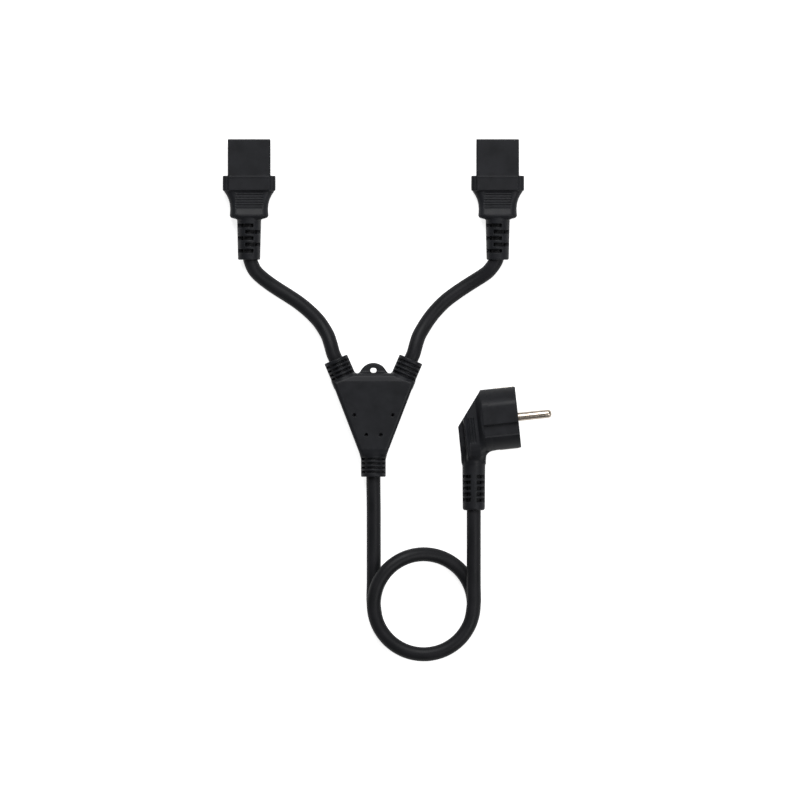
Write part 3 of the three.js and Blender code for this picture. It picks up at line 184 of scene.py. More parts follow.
right_route = [
    *collar_lead(1),
    [24.1, 40.3, 7.6], [25.7, 45.1, 6.4],
    [28.2, 49.6, 5.2], [31.0, 54.0, 4.4], [34.8, 58.9, 4.1], [40.4, 64.6, TABLE_HEIGHT],
    [46.1, 69.0, TABLE_HEIGHT], [51.7, 72.8, 4.1], [57.2, 76.3, 4.6], [61.8, 79.2, 5.4], [64.7, 81.4, 6.3],
    [66.9, 83.9, 7.1], [68.6, 86.4, 7.6], [69.6, 88.5, 7.85], [70.05, 91.0, 7.9], [70.2, 93.8, 7.9],
    [70.2, 98, 7.9], [70.2, 108, 7.9], [CONNECTOR_X, NOSE_TIP_Y - CONNECTOR_SHEATH, CONNECTOR_HEIGHT],
]


def smooth_path(points, spacing):
    """A curve through points, evenly spaced. Each stretch is a cubic whose slope at a point follows its
    neighbours, weighted by the square root of their distance, so that it doesn't overshoot."""
    p = np.asarray(points, float)
    p = np.vstack([2 * p[0] - p[1], p, 2 * p[-1] - p[-2]])
    step = np.sqrt(np.linalg.norm(np.diff(p, axis=0), axis=1))[:, None]
    a, b, c = step[:-2], step[1:-1], step[2:]
    p0, p1, p2, p3 = p[:-3], p[1:-2], p[2:-1], p[3:]
    start = b * ((p1 - p0) / a - (p2 - p0) / (a + b) + (p2 - p1) / b)
    end = b * ((p2 - p1) / b - (p3 - p1) / (b + c) + (p3 - p2) / c)
    t = np.linspace(0, 1, 40, endpoint=False)[:, None, None]
    curve = ((2 * t**3 - 3 * t**2 + 1) * p1 + (t**3 - 2 * t**2 + t) * start
             + (3 * t**2 - 2 * t**3) * p2 + (t**3 - t**2) * end)
    curve = np.vstack([curve.transpose(1, 0, 2).reshape(-1, 3), p[-2]])
    along = np.concatenate([[0], np.cumsum(np.linalg.norm(np.diff(curve, axis=0), axis=1))])
    even = np.linspace(0, along[-1], round(along[-1] / spacing) + 1)
    return np.stack([np.interp(even, along, curve[:, k]) for k in range(3)], -1), along[-1]


# %% [markdown]
# ## Carrying a section along a path
# At each point of the path the section stands square to it: its side direction is level, and its other
# direction completes the right angle. A cord never stands upright, so this always works.

# %% Cord sweep
def sweep(path, section):
    """Points of section (across, up) in mm, carried along a path that is never vertical. Returns a grid
    of rows along the path and its UV: distance around the section, and distance along the path."""
    along = np.gradient(path, axis=0)
    along /= np.linalg.norm(along, axis=1)[:, None]
    side = np.cross(along, [0, 0, 1.0])
    side /= np.linalg.norm(side, axis=1)[:, None]
    up = np.cross(side, along)
    grid = path[:, None] + section[None, :, :1] * side[:, None] + section[None, :, 1:] * up[:, None]
    around = np.concatenate([[0], np.cumsum(np.linalg.norm(np.diff(section, axis=0), axis=1))])
    distance = np.concatenate([[0], np.cumsum(np.linalg.norm(np.diff(path, axis=0), axis=1))])
    uv = np.stack(np.broadcast_arrays(around[None, :], distance[:, None]), -1)
    return grid.reshape(-1, 3), uv.reshape(-1, 2)


def circle(radius, count):
    """Points of a circle: radius times (cos a, sin a)."""
    angle = np.linspace(0, 2 * np.pi, count, endpoint=False)
    return np.stack([np.cos(angle), np.sin(angle)], -1) * radius


PATH_STEP = 0.8
CORD_SIDES = 40
cords = {}
for name, route in {"main_cord": main_route, "left_branch_cord": left_route,
                    "right_branch_cord": right_route}.items():
    path, length = smooth_path(route, PATH_STEP)
    points, uv = sweep(path, circle(CORD_DIAMETER / 2, CORD_SIDES))
    faces = grid_faces(len(path), CORD_SIDES)
    cords[name] = {"piece": make_piece(name + "_sheath", points, faces, uv), "path": path, "length": length}
    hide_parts(name)
    print(name, "is", round(length), "mm long, and", len(faces), "faces")

# %% [markdown]
# ## Moulded shapes
# A moulding is one shot of soft PVC: several simple forms that flow into each other, with grooves, slots
# and holes cut into them. The easiest way to blend forms is to describe each by its distance: a number for
# every point in space, negative inside and positive outside. The nearer of two distances joins two forms,
# the farther one keeps what they share, and a radius rounds the edge or fills the corner between them.
# A skin is then laid where the distance is zero.

# %% Distance helpers
def polygon_distance(x, y, corners):
    """Distance from (x, y) to a closed outline, negative inside: the nearest of its edges, and a count of
    how many edges lie to the right to tell inside from outside."""
    corners = np.asarray(corners, float)
    nearest = np.full(np.broadcast(x, y).shape, 1e9)
    inside = np.zeros(nearest.shape, bool)
    for (ax, ay), (bx, by) in zip(corners, np.roll(corners, -1, axis=0)):
        dx, dy = bx - ax, by - ay
        t = np.clip(((x - ax) * dx + (y - ay) * dy) / (dx * dx + dy * dy), 0, 1)
        nearest = np.minimum(nearest, (x - ax - t * dx) ** 2 + (y - ay - t * dy) ** 2)
        if dy:
            inside ^= ((ay > y) != (by > y)) & (x < dx * (y - ay) / dy + ax)
    return np.where(inside, -1, 1) * np.sqrt(nearest)


def shared(a, b, radius):
    """What two forms share, with the edge where they meet rounded by a radius."""
    return (np.hypot(np.maximum(a + radius, 0), np.maximum(b + radius, 0))
            + np.minimum(np.maximum(a, b) + radius, 0) - radius)


def joined(a, b, radius):
    """Two forms as one, with the inner corner between them filled by a radius."""
    return (np.maximum(np.minimum(a, b) - radius, 0) + radius
            - np.hypot(np.maximum(radius - a, 0), np.maximum(radius - b, 0)))


def carved(a, b, radius):
    """The first form with the second taken out, and the edge of the cut rounded by a radius."""
    return shared(a, -b, radius)


def mirrored(half):
    """Both sides of a half outline that is given at positive x."""
    return half + [(-x, y) for x, y in reversed(half)]


# %% [markdown]
# ## Laying the skin
# Space is divided into small cubes. Each cube that the surface passes through gets one point, at the mean
# of the places where the surface crosses the cube's edges. Each edge that is crossed gets one four-sided
# face, through the points of the four cubes around it. On a flat surface all those points lie exactly in
# the plane, and an edge comes out as softly as one cube is wide, about 0.3 mm, as moulded plastic does.

# %% Skin
def skin(distance, low, step):
    """Points and four-sided faces where a grid of distances passes through zero. The grid starts at low
    and has cubes of that step, in mm."""
    inside = distance < 0
    cubes = np.array(distance.shape)
    owners, places, loops = [], [], []
    for axis in range(3):
        head = [slice(None)] * 3
        tail = [slice(None)] * 3
        head[axis], tail[axis] = slice(None, -1), slice(1, None)
        crossed = np.argwhere(inside[tuple(head)] != inside[tuple(tail)])
        start = distance[tuple(head)][tuple(crossed.T)]
        end = distance[tuple(tail)][tuple(crossed.T)]
        place = crossed.astype(float)
        place[:, axis] += start / (start - end)
        b, c = np.eye(3, dtype=int)[(axis + 1) % 3], np.eye(3, dtype=int)[(axis + 2) % 3]
        around = np.stack([crossed - b - c, crossed - c, crossed, crossed - b], 1)
        ids = np.ravel_multi_index(tuple(around.reshape(-1, 3).T), tuple(cubes)).reshape(-1, 4)
        outwards = start < 0
        ids = np.where(outwards[:, None], ids, ids[:, ::-1])
        owners.append(ids)
        places.append(np.repeat(place[:, None], 4, 1))
    owners, places = np.concatenate(owners), np.concatenate(places)
    kept, number = np.unique(owners.ravel(), return_inverse=True)
    count = np.bincount(number)
    mean = np.stack([np.bincount(number, places.reshape(-1, 3)[:, k]) / count for k in range(3)], -1)
    return low + step * mean, number.reshape(-1, 4)


def grid(low, high, step):
    """The three coordinates of a grid that covers a box, in shapes that combine into the whole grid."""
    axes = [np.arange(a, b + step, step) for a, b in zip(low, high)]
    return axes[0][:, None, None], axes[1][None, :, None], axes[2][None, None, :]


# %% [markdown]
# ## Y-joint
# Seen from above the joint is a triangle with a cut top, about 47 mm across, and its two faces slope down
# a little towards the collars, less at the tab's end. The edges are rounded by about 2 mm. Each collar is a
# short round neck with four grooves that let it bend a little with the cord, and a narrow rib is left along
# each side. Between
# the two upper collars stands a thin tab with a hole, to hang the splitter up. The four small holes are
# where pins held the hard carrier inside while the PVC was shot around it.

# %% Y-joint
JOINT_HALF_PLAN = [(7.0, -23.5), (23.38, 19.1), (11.7, 24.0)]
JOINT_HALF_HEIGHT = 8.2
JOINT_EDGE = 2.2
SLOPE_LENGTH = 4.5
UPPER_DROP = 0.8
LOWER_DROP = 1.6
COLLAR_RADIUS = 7.0
GROOVES = (2.7, 5.15, 7.6, 10.05)
GROOVE_WIDTH = 1.2
GROOVE_DEPTH = 1.6
SIDE_RIB = 3.2
BORE = 4.1
TAB_Y, TAB_RADIUS, TAB_HALF_HEIGHT = 21.9, 8.0, 2.3
HOLE_Y, HOLE_RADIUS, HOLE_STRETCH = 25.65, 1.4, 0.4
PIN_MARKS = ((10.85, 0.4), (4.1, -10.8))
PIN_MARK_RADIUS = 0.95
PIN_MARK_FLOOR = 6.5


def joint_distance(x, y, z):
    """Triangle and sloping slab, rounded; plus three collars and a tab; less grooves, bores and holes."""
    plan = polygon_distance(x, y, mirrored(JOINT_HALF_PLAN))
    past_end = np.maximum(y - JOINT_HALF_PLAN[2][1], JOINT_HALF_PLAN[0][1] - y)
    slope = np.clip(1 + past_end / SLOPE_LENGTH, 0, 1) * np.where(y > 0, UPPER_DROP, LOWER_DROP)
    level = np.abs(z - JOINT_HEIGHT)
    whole = shared(plan, level - JOINT_HALF_HEIGHT + slope, JOINT_EDGE)
    grooves = np.full(np.broadcast(x, y, z).shape, 9.0)
    bores = grooves.copy()
    for side in (-1, 0, 1):
        end, axis = collar_end(side), collar_axis(side)
        s = (x - end[0]) * axis[0] + (y - end[1]) * axis[1]
        across = (x - end[0]) * axis[1] - (y - end[1]) * axis[0]
        out = np.hypot(across, level)
        whole = joined(whole, shared(out - COLLAR_RADIUS, np.maximum(-s, s - 15), 0.5), 1.2)
        for middle in GROOVES:
            ring = np.maximum(np.abs(s - middle) - GROOVE_WIDTH / 2, COLLAR_RADIUS - GROOVE_DEPTH - out)
            ring = np.maximum(ring, out - COLLAR_RADIUS - 1)
            grooves = np.minimum(grooves, np.maximum(ring, SIDE_RIB / 2 - level))
        bores = np.minimum(bores, np.maximum(out - BORE, np.maximum(-1 - s, s - SHEATH_DEPTH - 1)))
    tab = shared(np.hypot(x, y - TAB_Y) - TAB_RADIUS, level - TAB_HALF_HEIGHT, 0.8)
    whole = joined(whole, tab, 1.6)
    whole = carved(whole, grooves, 0.2)
    hole = np.hypot(np.maximum(np.abs(x) - HOLE_STRETCH, 0), y - HOLE_Y) - HOLE_RADIUS
    whole = carved(whole, hole + 0 * z, 0.25)
    for px, py in PIN_MARKS:
        mark = np.hypot(np.abs(x) - px, y - py) - PIN_MARK_RADIUS
        whole = carved(whole, np.maximum(mark, PIN_MARK_FLOOR - level), 0.15)
    return carved(whole, bores, 0.15)


JOINT_STEP = 0.33
low = np.array([-29.0, -35.6, -0.8])
x, y, z = grid(low, (29.0, 35.6, 17.2), JOINT_STEP)
points, faces = skin(joint_distance(x, y, z), low, JOINT_STEP)
joint = make_piece("joint_body", points, faces.tolist())
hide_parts("joint_moulding")
print("Y-joint:", len(faces), "faces")

# %% [markdown]
# ## Appliance connector
# The nose goes into an appliance: a bar 24 mm wide with two cut corners below, so that it fits one way
# round only. A flange stops it, with two rounded ears that are a little lower than its middle. Behind it
# the grip draws in to a waist, has fine ribs above and below, and swells to a lip before the strain
# relief. The relief's slots come by turns from the left and the right, so that it bends like a spring.
# Both connectors are the same piece, shifted to its place.

# %% Connector
GRIP_HALF_WIDTHS = [(14.0, 0.6), (12.7, 2.5), (11.6, 4.9), (10.95, 7.3), (10.7, 10.0), (10.8, 12.4),
                    (11.0, 14.2), (10.6, 15.5)]
GRIP_HALF_HEIGHTS = [(6.6, 0.0), (6.3, 2.0), (6.2, 4.5), (6.15, 7.0), (6.25, 9.0), (6.7, 11.0), (7.3, 13.0),
                     (7.5, 14.3), (7.2, 15.4)]
NOSE_HALF_WIDTH = 12.1
NOSE_HALF_HEIGHT = 7.9
NOSE_CUT = 5.0
NOSE_WALL = 1.6
FLANGE_FRONT = -20.7
FLANGE_BACK = -29.2
FLANGE_HALF_WIDTH = 14.95
EAR_HALF_HEIGHT = 7.2
GRIP_BACK = -46.6
GRIP_EDGE = 4.0
RIB_MIDDLE, RIB_REACH = -34.6, 5.2
RIB_START, RIB_PITCH, RIB_DEPTH = -29.6, 1.41, 0.5
RELIEF_BACK = -68.2
RELIEF_RADII = (6.3, 6.75)
SLOT_FIRST, SLOT_PITCH = 5.0, 3.6
CONNECTOR_BORE = 4.06
MOUTH_LENGTH = 4.0


def nose_outline(inset):
    """Front view of the nose, drawn in all round: square above, with two cut corners below."""
    cx, cz = NOSE_HALF_WIDTH - inset, NOSE_HALF_HEIGHT - inset
    corner = NOSE_CUT - inset * (2 - math.sqrt(2))
    return mirrored([(cx - corner, -cz), (cx, corner - cz), (cx, cz)])


def connector_distance(x, y, z):
    """Nose, flange, waisted grip and tapered relief; less the insert's pocket, ribs, slots and bore. The
    ribs' depth goes as ((1 - cos) / 2) to the power 1.5, which makes their grooves narrow."""
    nose = shared(polygon_distance(x, z, nose_outline(0.8)) - 0.8, np.maximum(y, -22 - y), 0.4)
    ears = shared(np.abs(x) - FLANGE_HALF_WIDTH, np.abs(z) - EAR_HALF_HEIGHT, 2.4)
    middle = shared(np.abs(x) - NOSE_HALF_WIDTH, np.abs(z) - NOSE_HALF_HEIGHT, 0.8)
    flange = shared(np.minimum(ears, middle), np.maximum(y - FLANGE_FRONT, FLANGE_BACK - y), 0.6)
    plan = [(w, FLANGE_BACK - d) for w, d in [(14.3, -7.0), (14.3, -0.4), *GRIP_HALF_WIDTHS]]
    side = [(h, FLANGE_BACK - d) for h, d in [(6.6, -7.0), *GRIP_HALF_HEIGHTS]]
    plan = mirrored([*plan, (RELIEF_RADII[1], GRIP_BACK)])
    side = mirrored([*side, (6.7, GRIP_BACK)])
    grip = shared(polygon_distance(x, y, plan), polygon_distance(z, y, side), GRIP_EDGE)
    whole = joined(joined(nose, flange, 0.25), grip, 0.4)
    out = np.hypot(x, z)
    taper = (y - RELIEF_BACK) / (GRIP_BACK - RELIEF_BACK)
    radius = RELIEF_RADII[0] + (RELIEF_RADII[1] - RELIEF_RADII[0]) * taper
    relief = shared(out - radius, np.maximum(RELIEF_BACK - y, y - GRIP_BACK - 2), 0.7)
    whole = joined(whole, relief, 0.8)
    ribs = np.clip(1 - np.abs(y - RIB_MIDDLE) / RIB_REACH, 0, 0.2) * 5 * np.clip(8.0 - np.abs(x), 0, 1)
    waves = (0.5 - 0.5 * np.cos(2 * np.pi * (y - RIB_START) / RIB_PITCH)) ** 1.5
    whole = whole + RIB_DEPTH * ribs * waves * (np.abs(z) > 5)
    for i in range(5):
        row = np.abs(y - (RELIEF_BACK + SLOT_FIRST + SLOT_PITCH * i)) - 1.0
        turn = -1 if i % 2 == 0 else 1
        window = np.maximum(row, np.maximum(1.4 - np.abs(z), -2.3 - turn * x))
        whole = carved(whole, window, 0.25)
    pocket = np.maximum(polygon_distance(x, z, nose_outline(NOSE_WALL)), -19.2 - y)
    whole = carved(whole, pocket, 0.25)
    mouth = CONNECTOR_BORE + np.clip((RELIEF_BACK + MOUTH_LENGTH - y) / MOUTH_LENGTH, 0, 1.2) * 1.2
    return carved(whole, np.maximum(out - mouth, y + CONNECTOR_SHEATH - 0.5), 0.25)


CONNECTOR_STEP = 0.27
low = np.array([-15.9, -69.2, -8.8])
x, y, z = grid(low, (15.9, 0.9, 8.8), CONNECTOR_STEP)
points, faces = skin(connector_distance(x, y, z), low, CONNECTOR_STEP)
connector_place = {"left": np.array([-CONNECTOR_X, NOSE_TIP_Y, CONNECTOR_HEIGHT]),
                   "right": np.array([CONNECTOR_X, NOSE_TIP_Y, CONNECTOR_HEIGHT])}
connectors = {}
for side, place in connector_place.items():
    connectors[side] = make_piece(side + "_connector_body", points + place, faces.tolist())
    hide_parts(side + "_connector_moulding")
print("Connector:", len(faces), "faces")

# %% [markdown]
# ## Insert with its three slots
# The nose is soft, so a hard insert inside it carries the contacts. Its front lies a little behind the
# rim and has three narrow slots with softened mouths, two above and the earth's below and between them.

# %% Insert
CONTACTS = ((-7.0, 2.0), (7.0, 2.0), (0.0, -2.0))


def insert_distance(x, y, z):
    """A bar of the nose's outline, less three slots that widen into the contacts' chambers."""
    outline = polygon_distance(x, z, nose_outline(NOSE_WALL + 0.2))
    whole = shared(outline, np.maximum(y + 0.4, -19 - y), 0.3)
    for cx, cz in CONTACTS:
        slot = np.maximum(np.abs(x - cx) - 1.4, np.abs(z - cz) - 2.4)
        chamber = np.maximum(np.maximum(np.abs(x - cx) - 2.1, np.abs(z - cz) - 3.1), y + 2.1)
        whole = carved(whole, np.minimum(slot + 0 * y, chamber), 0.3)
    return whole


INSERT_STEP = 0.24
low = np.array([-11.0, -19.7, -6.8])
x, y, z = grid(low, (11.0, 0.3, 6.8), INSERT_STEP)
points, faces = skin(insert_distance(x, y, z), low, INSERT_STEP)
inserts = {}
for side, place in connector_place.items():
    inserts[side] = make_piece(side + "_insert_bar", points + place, faces.tolist())
    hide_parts(side + "_connector_insert")
print("Insert:", len(faces), "faces")

# %% [markdown]
# ## Mains plug
# The head is a round block with flats where a socket's earth contacts press, and a guide groove along each
# cheek. It is tilted by 6 degrees against the cord. A sloping neck leads back to the handle, whose flanks
# are flat pads with three fine grooves and a raised rear edge, behind which the handle steps in. Its foot
# grows round and runs into the strain relief, with a row of small windows on each side of a spine.
#
# The plug's own directions are: u out of its face, v up in the picture, and w out of the table. The handle
# is drawn as its side view, and its half thickness at each place (u, v) of that view.

# %% Plug body
HEAD_TILT = math.radians(6)
CORD_OFFSET = 25.1
HEAD_DEPTH = 20.1
HEAD_RADIUS = 18.6
HEAD_FLAT_V, HEAD_FLAT_W = 17.4, 16.6
HANDLE_HALF_WIDTH = 6.45
HANDLE_LIMIT = 16.3
GUIDE_V, GUIDE_HALF_WIDTH, GUIDE_FLOOR = 6.175, 3.325, 14.2
RELIEF_END = -52.8
RELIEF_TOP = -22
RELIEF_RADIUS = 6.3
RELIEF_ROWS = [RELIEF_END + 5.8 + 3.32 * i for i in range(5)]
PAD = ([-28.2, -24.0, -20.0, -16.5, -13.5, -8.0], [6.45, 7.5, 9.2, 11.0, 12.1, 12.4])
PAD_TOP = ([-17.5, -14.0, -10.0], [9.0, 11.4, 12.6])
PAD_REAR = ([-34.4, -31.7, -30.7, -30.2, -28.6], [-3.6, -3.4, 0.9, 1.25, 0])


def from_head(u, v):
    """Plug directions turned to the table's."""
    return (u * math.cos(HEAD_TILT) - v * math.sin(HEAD_TILT),
            u * math.sin(HEAD_TILT) + v * math.cos(HEAD_TILT))


def to_head(x, y):
    """The table's directions turned to the plug's."""
    return (x * math.cos(HEAD_TILT) + y * math.sin(HEAD_TILT),
            y * math.cos(HEAD_TILT) - x * math.sin(HEAD_TILT))


throat_bend = [np.array(p) for p in ((-18.65, -25.2), (-18.65, -19.46), (-12.98, -18.86))]
THROAT = [to_head(-CORD_OFFSET + HANDLE_HALF_WIDTH, -26.2)]
for t in np.linspace(0, 1, 8):
    weights = ((1 - t) ** 2, 2 * t * (1 - t), t * t)
    THROAT.append(to_head(*sum(weight * bend for weight, bend in zip(weights, throat_bend))))


def plug_distance(u, v, w):
    """Head and handle, each shared by the outlines of its views; plus the relief; less all that is cut. The
    handle's half thickness is the pad's. It turns to the head's cheek, sqrt(R R - v v), as the neck goes
    from 0 to 1, and at the foot to a round section's sqrt(6.4 6.4 - a a), with a measured from the cord's
    middle."""
    x, y = from_head(u, v)
    flats = np.maximum(np.abs(v) - HEAD_FLAT_V, np.abs(w) - HEAD_FLAT_W)
    front = shared(np.hypot(v, w) - HEAD_RADIUS, flats, 0.6)
    head = shared(front, np.maximum(u, -HEAD_DEPTH - u), 0.5)
    side_view = [to_head(-CORD_OFFSET - HANDLE_HALF_WIDTH, -26.2), *THROAT, (-16.0, -16.9), (-16.0, 16.9),
                 (-HEAD_DEPTH, 16.9), (-34.4, -2.0), (-34.4, -21.2)]
    pad = np.minimum(np.interp(v, *PAD), np.interp(-v, *PAD_TOP)) + np.interp(u, *PAD_REAR)
    cheek = np.sqrt(np.maximum(HEAD_RADIUS**2 - v * v, RELIEF_RADIUS**2))
    neck = np.clip((u + 23.1) / 3.2, 0, 1)
    across = x + CORD_OFFSET
    foot = np.clip((-22.0 - y) / 3.6, 0, 1)
    pad = pad + (np.sqrt(np.maximum(6.4**2 - across**2, 8.0)) - pad) * foot
    thickness = np.minimum(pad + (cheek - pad) * neck, HANDLE_LIMIT)
    handle = shared(polygon_distance(u, v, side_view), 0.85 * (np.abs(w) - thickness), 0.6)
    whole = joined(head, handle, 0.5)
    out = np.hypot(across, w)
    radius = RELIEF_RADIUS + 0.15 * (y - RELIEF_END) / 27
    relief = shared(out - radius, np.maximum(RELIEF_END - y, y - RELIEF_TOP), 1.4)
    whole = joined(whole, relief, 1.5)
    for side in (-1, 1):
        guide = np.maximum(np.abs(v + side * GUIDE_V) - GUIDE_HALF_WIDTH, GUIDE_FLOOR - side * w)
        whole = carved(whole, np.maximum(guide, -HEAD_DEPTH - u), 0.3)
        for i in range(3):
            groove = np.maximum(np.abs(u + 25.5 + 1.4 * i) - 0.33, np.maximum(v - 2, -12 - v))
            whole = carved(whole, np.maximum(groove, 11.85 - side * w), 0.15)
    for row in RELIEF_ROWS:
        window = np.maximum(np.abs(y - row) - 0.95, np.maximum(1.7 - np.abs(across), 1.7 - np.abs(w)))
        whole = carved(whole, window, 0.25)
    strap = np.maximum(np.maximum(np.abs(w) - 3.15, 16.65 - np.abs(v)), -13.3 - u)
    bridge = np.maximum(np.minimum(np.hypot(v, w) - 13.2, np.hypot(v - 10, w) - 4.8), -9.5 - u)
    whole = carved(whole, np.minimum(strap, bridge), 0.2)
    return carved(whole, np.maximum(out - BORE, y - RELIEF_TOP), 0.2)


PLUG_STEP = 0.32
low = np.array([-38.4, -52.0, -17.7])
u, v, w = grid(low, (1.0, 18.6, 17.7), PLUG_STEP)
points, faces = skin(plug_distance(u, v, w), low, PLUG_STEP)


def placed(points):
    """Points in the plug's directions, turned and moved to the table's."""
    x, y = from_head(points[:, 0], points[:, 1])
    return np.stack([x, y, points[:, 2]], -1) + PLUG_PLACE


plug = make_piece("plug_body", placed(points), faces.tolist())
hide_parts("plug_moulding")
print("Plug:", len(faces), "faces")

# %% [markdown]
# ## Bridge and pins
# The bridge is the hard disc in the plug's face. It holds the two pins and the socket for the earth pin
# that some wall sockets have. The pins are turned from brass rod and nickel plated.

# %% Bridge
def bridge_distance(u, v, w):
    """Disc with a boss, less two pin holes and a stepped earth hole."""
    outline = np.minimum(np.hypot(v, w) - 13.0, np.hypot(v - 10, w) - 4.6)
    whole = shared(outline, np.maximum(u + 0.3, -9.3 - u), 0.35)
    pin_holes = np.hypot(v, np.abs(w) - 9.5) - 2.55
    whole = carved(whole, pin_holes + 0 * u, 0.25)
    earth = np.hypot(v - 10, w)
    return carved(whole, np.minimum(earth - 2.7 + 0 * u, np.maximum(earth - 3.5, u + 1.5)), 0.3)


BRIDGE_STEP = 0.26
low = np.array([-9.9, -13.7, -13.7])
u, v, w = grid(low, (0.3, 15.3, 13.7), BRIDGE_STEP)
points, faces = skin(bridge_distance(u, v, w), low, BRIDGE_STEP)
bridge = make_piece("bridge_disc", placed(points), faces.tolist())
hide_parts("plug_bridge")
print("Bridge:", len(faces), "faces")

# %% Pins
def turned(profile, count):
    """A profile of (distance along, radius) turned round the u axis, with its UV."""
    profile = np.asarray(profile, float)
    angle = np.linspace(0, 2 * np.pi, count, endpoint=False)[None, :]
    along, radius = profile[:, :1], profile[:, 1:]
    grid_points = np.stack(np.broadcast_arrays(along, radius * np.cos(angle), radius * np.sin(angle)), -1)
    uv = np.stack(np.broadcast_arrays(angle * 2.4, along), -1)
    return grid_points.reshape(-1, 3), uv.reshape(-1, 2)


PIN_LENGTH = 19.0
PIN_RADIUS = 2.4
PIN_SPACING = 9.5
PIN_SIDES = 48
tip = [(PIN_LENGTH - 2.0 + 2.0 * math.sin(a), PIN_RADIUS - 2.05 + 2.05 * math.cos(a))
       for a in np.linspace(0, math.pi / 2, 9)]
shank = [(along, PIN_RADIUS) for along in (-9.9, -5.0, 0.0, 6.0, 12.0, PIN_LENGTH - 2.0)]
pin_profile = [(-15.0, 1.0), (-15.0, 1.7), (-14.9, 1.8), (-10.0, 1.8), (-10.0, 2.3), *shank, *tip[1:],
               (PIN_LENGTH, 0.01)]
pins = {}
for name, height in {"live_pin": PIN_SPACING, "neutral_pin": -PIN_SPACING}.items():
    points, uv = turned(pin_profile, PIN_SIDES)
    points = placed(points + [0, 0, height])
    pins[name] = make_piece(name + "_rod", points, grid_faces(len(pin_profile), PIN_SIDES), uv)
    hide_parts(name)
print("Pins:", PIN_LENGTH, "mm out of the face")

# %% [markdown]
# ## Earth strap
# One strip of nickel-plated metal is bent into a U: its two arms lie in the flats of the head, where they
# touch the socket's springs, and its cross-bar runs through the plug behind the bridge. A rounded flat
# section is carried along the U's middle line.

# %% Earth strap
def strap_points():
    """The U's middle line in u and v, with bends of 1.2 mm, and a flat section with rounded corners."""
    bend = np.linspace(0, np.pi / 2, 7)
    reach, back, r = 17.2, -12.7, 1.2
    upper = [(-1.2 - 2.0 * t, reach) for t in np.linspace(0, 1, 5)]
    upper += [(back + r - r * math.sin(a), reach - r + r * math.cos(a)) for a in bend]
    half = np.array(upper)
    line = np.vstack([half, half[::-1] * [1, -1]])
    ahead = np.gradient(line, axis=0)
    ahead /= np.linalg.norm(ahead, axis=1)[:, None]
    out = np.stack([-ahead[:, 1], ahead[:, 0]], -1)
    corner = circle(0.25, 16)
    section = corner + np.sign(np.round(corner, 6) + 1e-9) * [2.75, 0.15]
    grid_points = np.empty((len(line), len(section), 3))
    grid_points[..., :2] = line[:, None] + section[None, :, 1:] * out[:, None]
    grid_points[..., 2] = section[None, :, 0]
    return grid_points.reshape(-1, 3), len(line), len(section)


points, rows, columns = strap_points()
strap = make_piece("earth_strap_strip", placed(points), [f[::-1] for f in grid_faces(rows, columns)])
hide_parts("earth_strap")
print("Earth strap:", rows, "by", columns, "points")

# %% Count cords
print("Cords declared:", len(cords))

# %% [markdown]
# ## Colours and nodes
# Colours are written as sRGB hex values, as a picture editor shows them, and turned to the linear values
# that Blender's nodes use. One helper adds a node with its settings and its links.

# %% Material helpers
def linear(code):
    """sRGB hex to linear red, green, blue and alpha."""
    values = [int(code[i:i + 2], 16) / 255 for i in (1, 3, 5)]
    return [c / 12.92 if c <= 0.04045 else ((c + 0.055) / 1.055) ** 2.4 for c in values] + [1.0]


def add(tree, kind, links=None, values=None, **settings):
    """Adds a node: settings are its own properties, values go on its sockets, and links come in."""
    made = tree.nodes.new(kind)
    for name, value in settings.items():
        setattr(made, name, value)
    for socket, value in (values or {}).items():
        made.inputs[socket].default_value = value
    for socket, source in (links or {}).items():
        tree.links.new(source, made.inputs[socket])
    return made


def new_material(name):
    """An empty node material with a Principled shader; returns the material, its nodes and the shader."""
    material = bpy.data.materials.new(name)
    material.use_nodes = True
    tree = material.node_tree
    tree.nodes.clear()
    shader = add(tree, "ShaderNodeBsdfPrincipled")
    add(tree, "ShaderNodeOutputMaterial", links={"Surface": shader.outputs["BSDF"]})
    return material, tree, shader


def ramp(tree, factor, low, high, low_at=0.3, high_at=0.7):
    """Colour between two hex values as a factor goes from one position to another."""
    made = add(tree, "ShaderNodeValToRGB", links={"Fac": factor})
    made.color_ramp.elements[0].position, made.color_ramp.elements[1].position = low_at, high_at
    made.color_ramp.elements[0].color, made.color_ramp.elements[1].color = linear(low), linear(high)
    return made.outputs["Color"]


def between(tree, factor, low, high):
    """A number between two others as a noise factor goes from 0.3 to 0.7."""
    return add(tree, "ShaderNodeMapRange", links={"Value": factor},
               values={"From Min": 0.3, "From Max": 0.7, "To Min": low, "To Max": high}).outputs["Result"]


def give(material, *pieces):
    """Puts a material on pieces or CAD nodes."""
    for piece in pieces:
        mesh = (nodes[piece] if isinstance(piece, str) else piece).data
        mesh.materials.clear()
        mesh.materials.append(material)


# %% [markdown]
# ## Soft PVC
# Plasticised PVC, shot into a spark-eroded steel mould: nearly black, satin, with a fine pebbled grain of
# about 0.4 mm that breaks its highlights up, and a faint unevenness where the thick parts have shrunk.
# Handling polishes it in patches, so its roughness varies over a few millimetres.

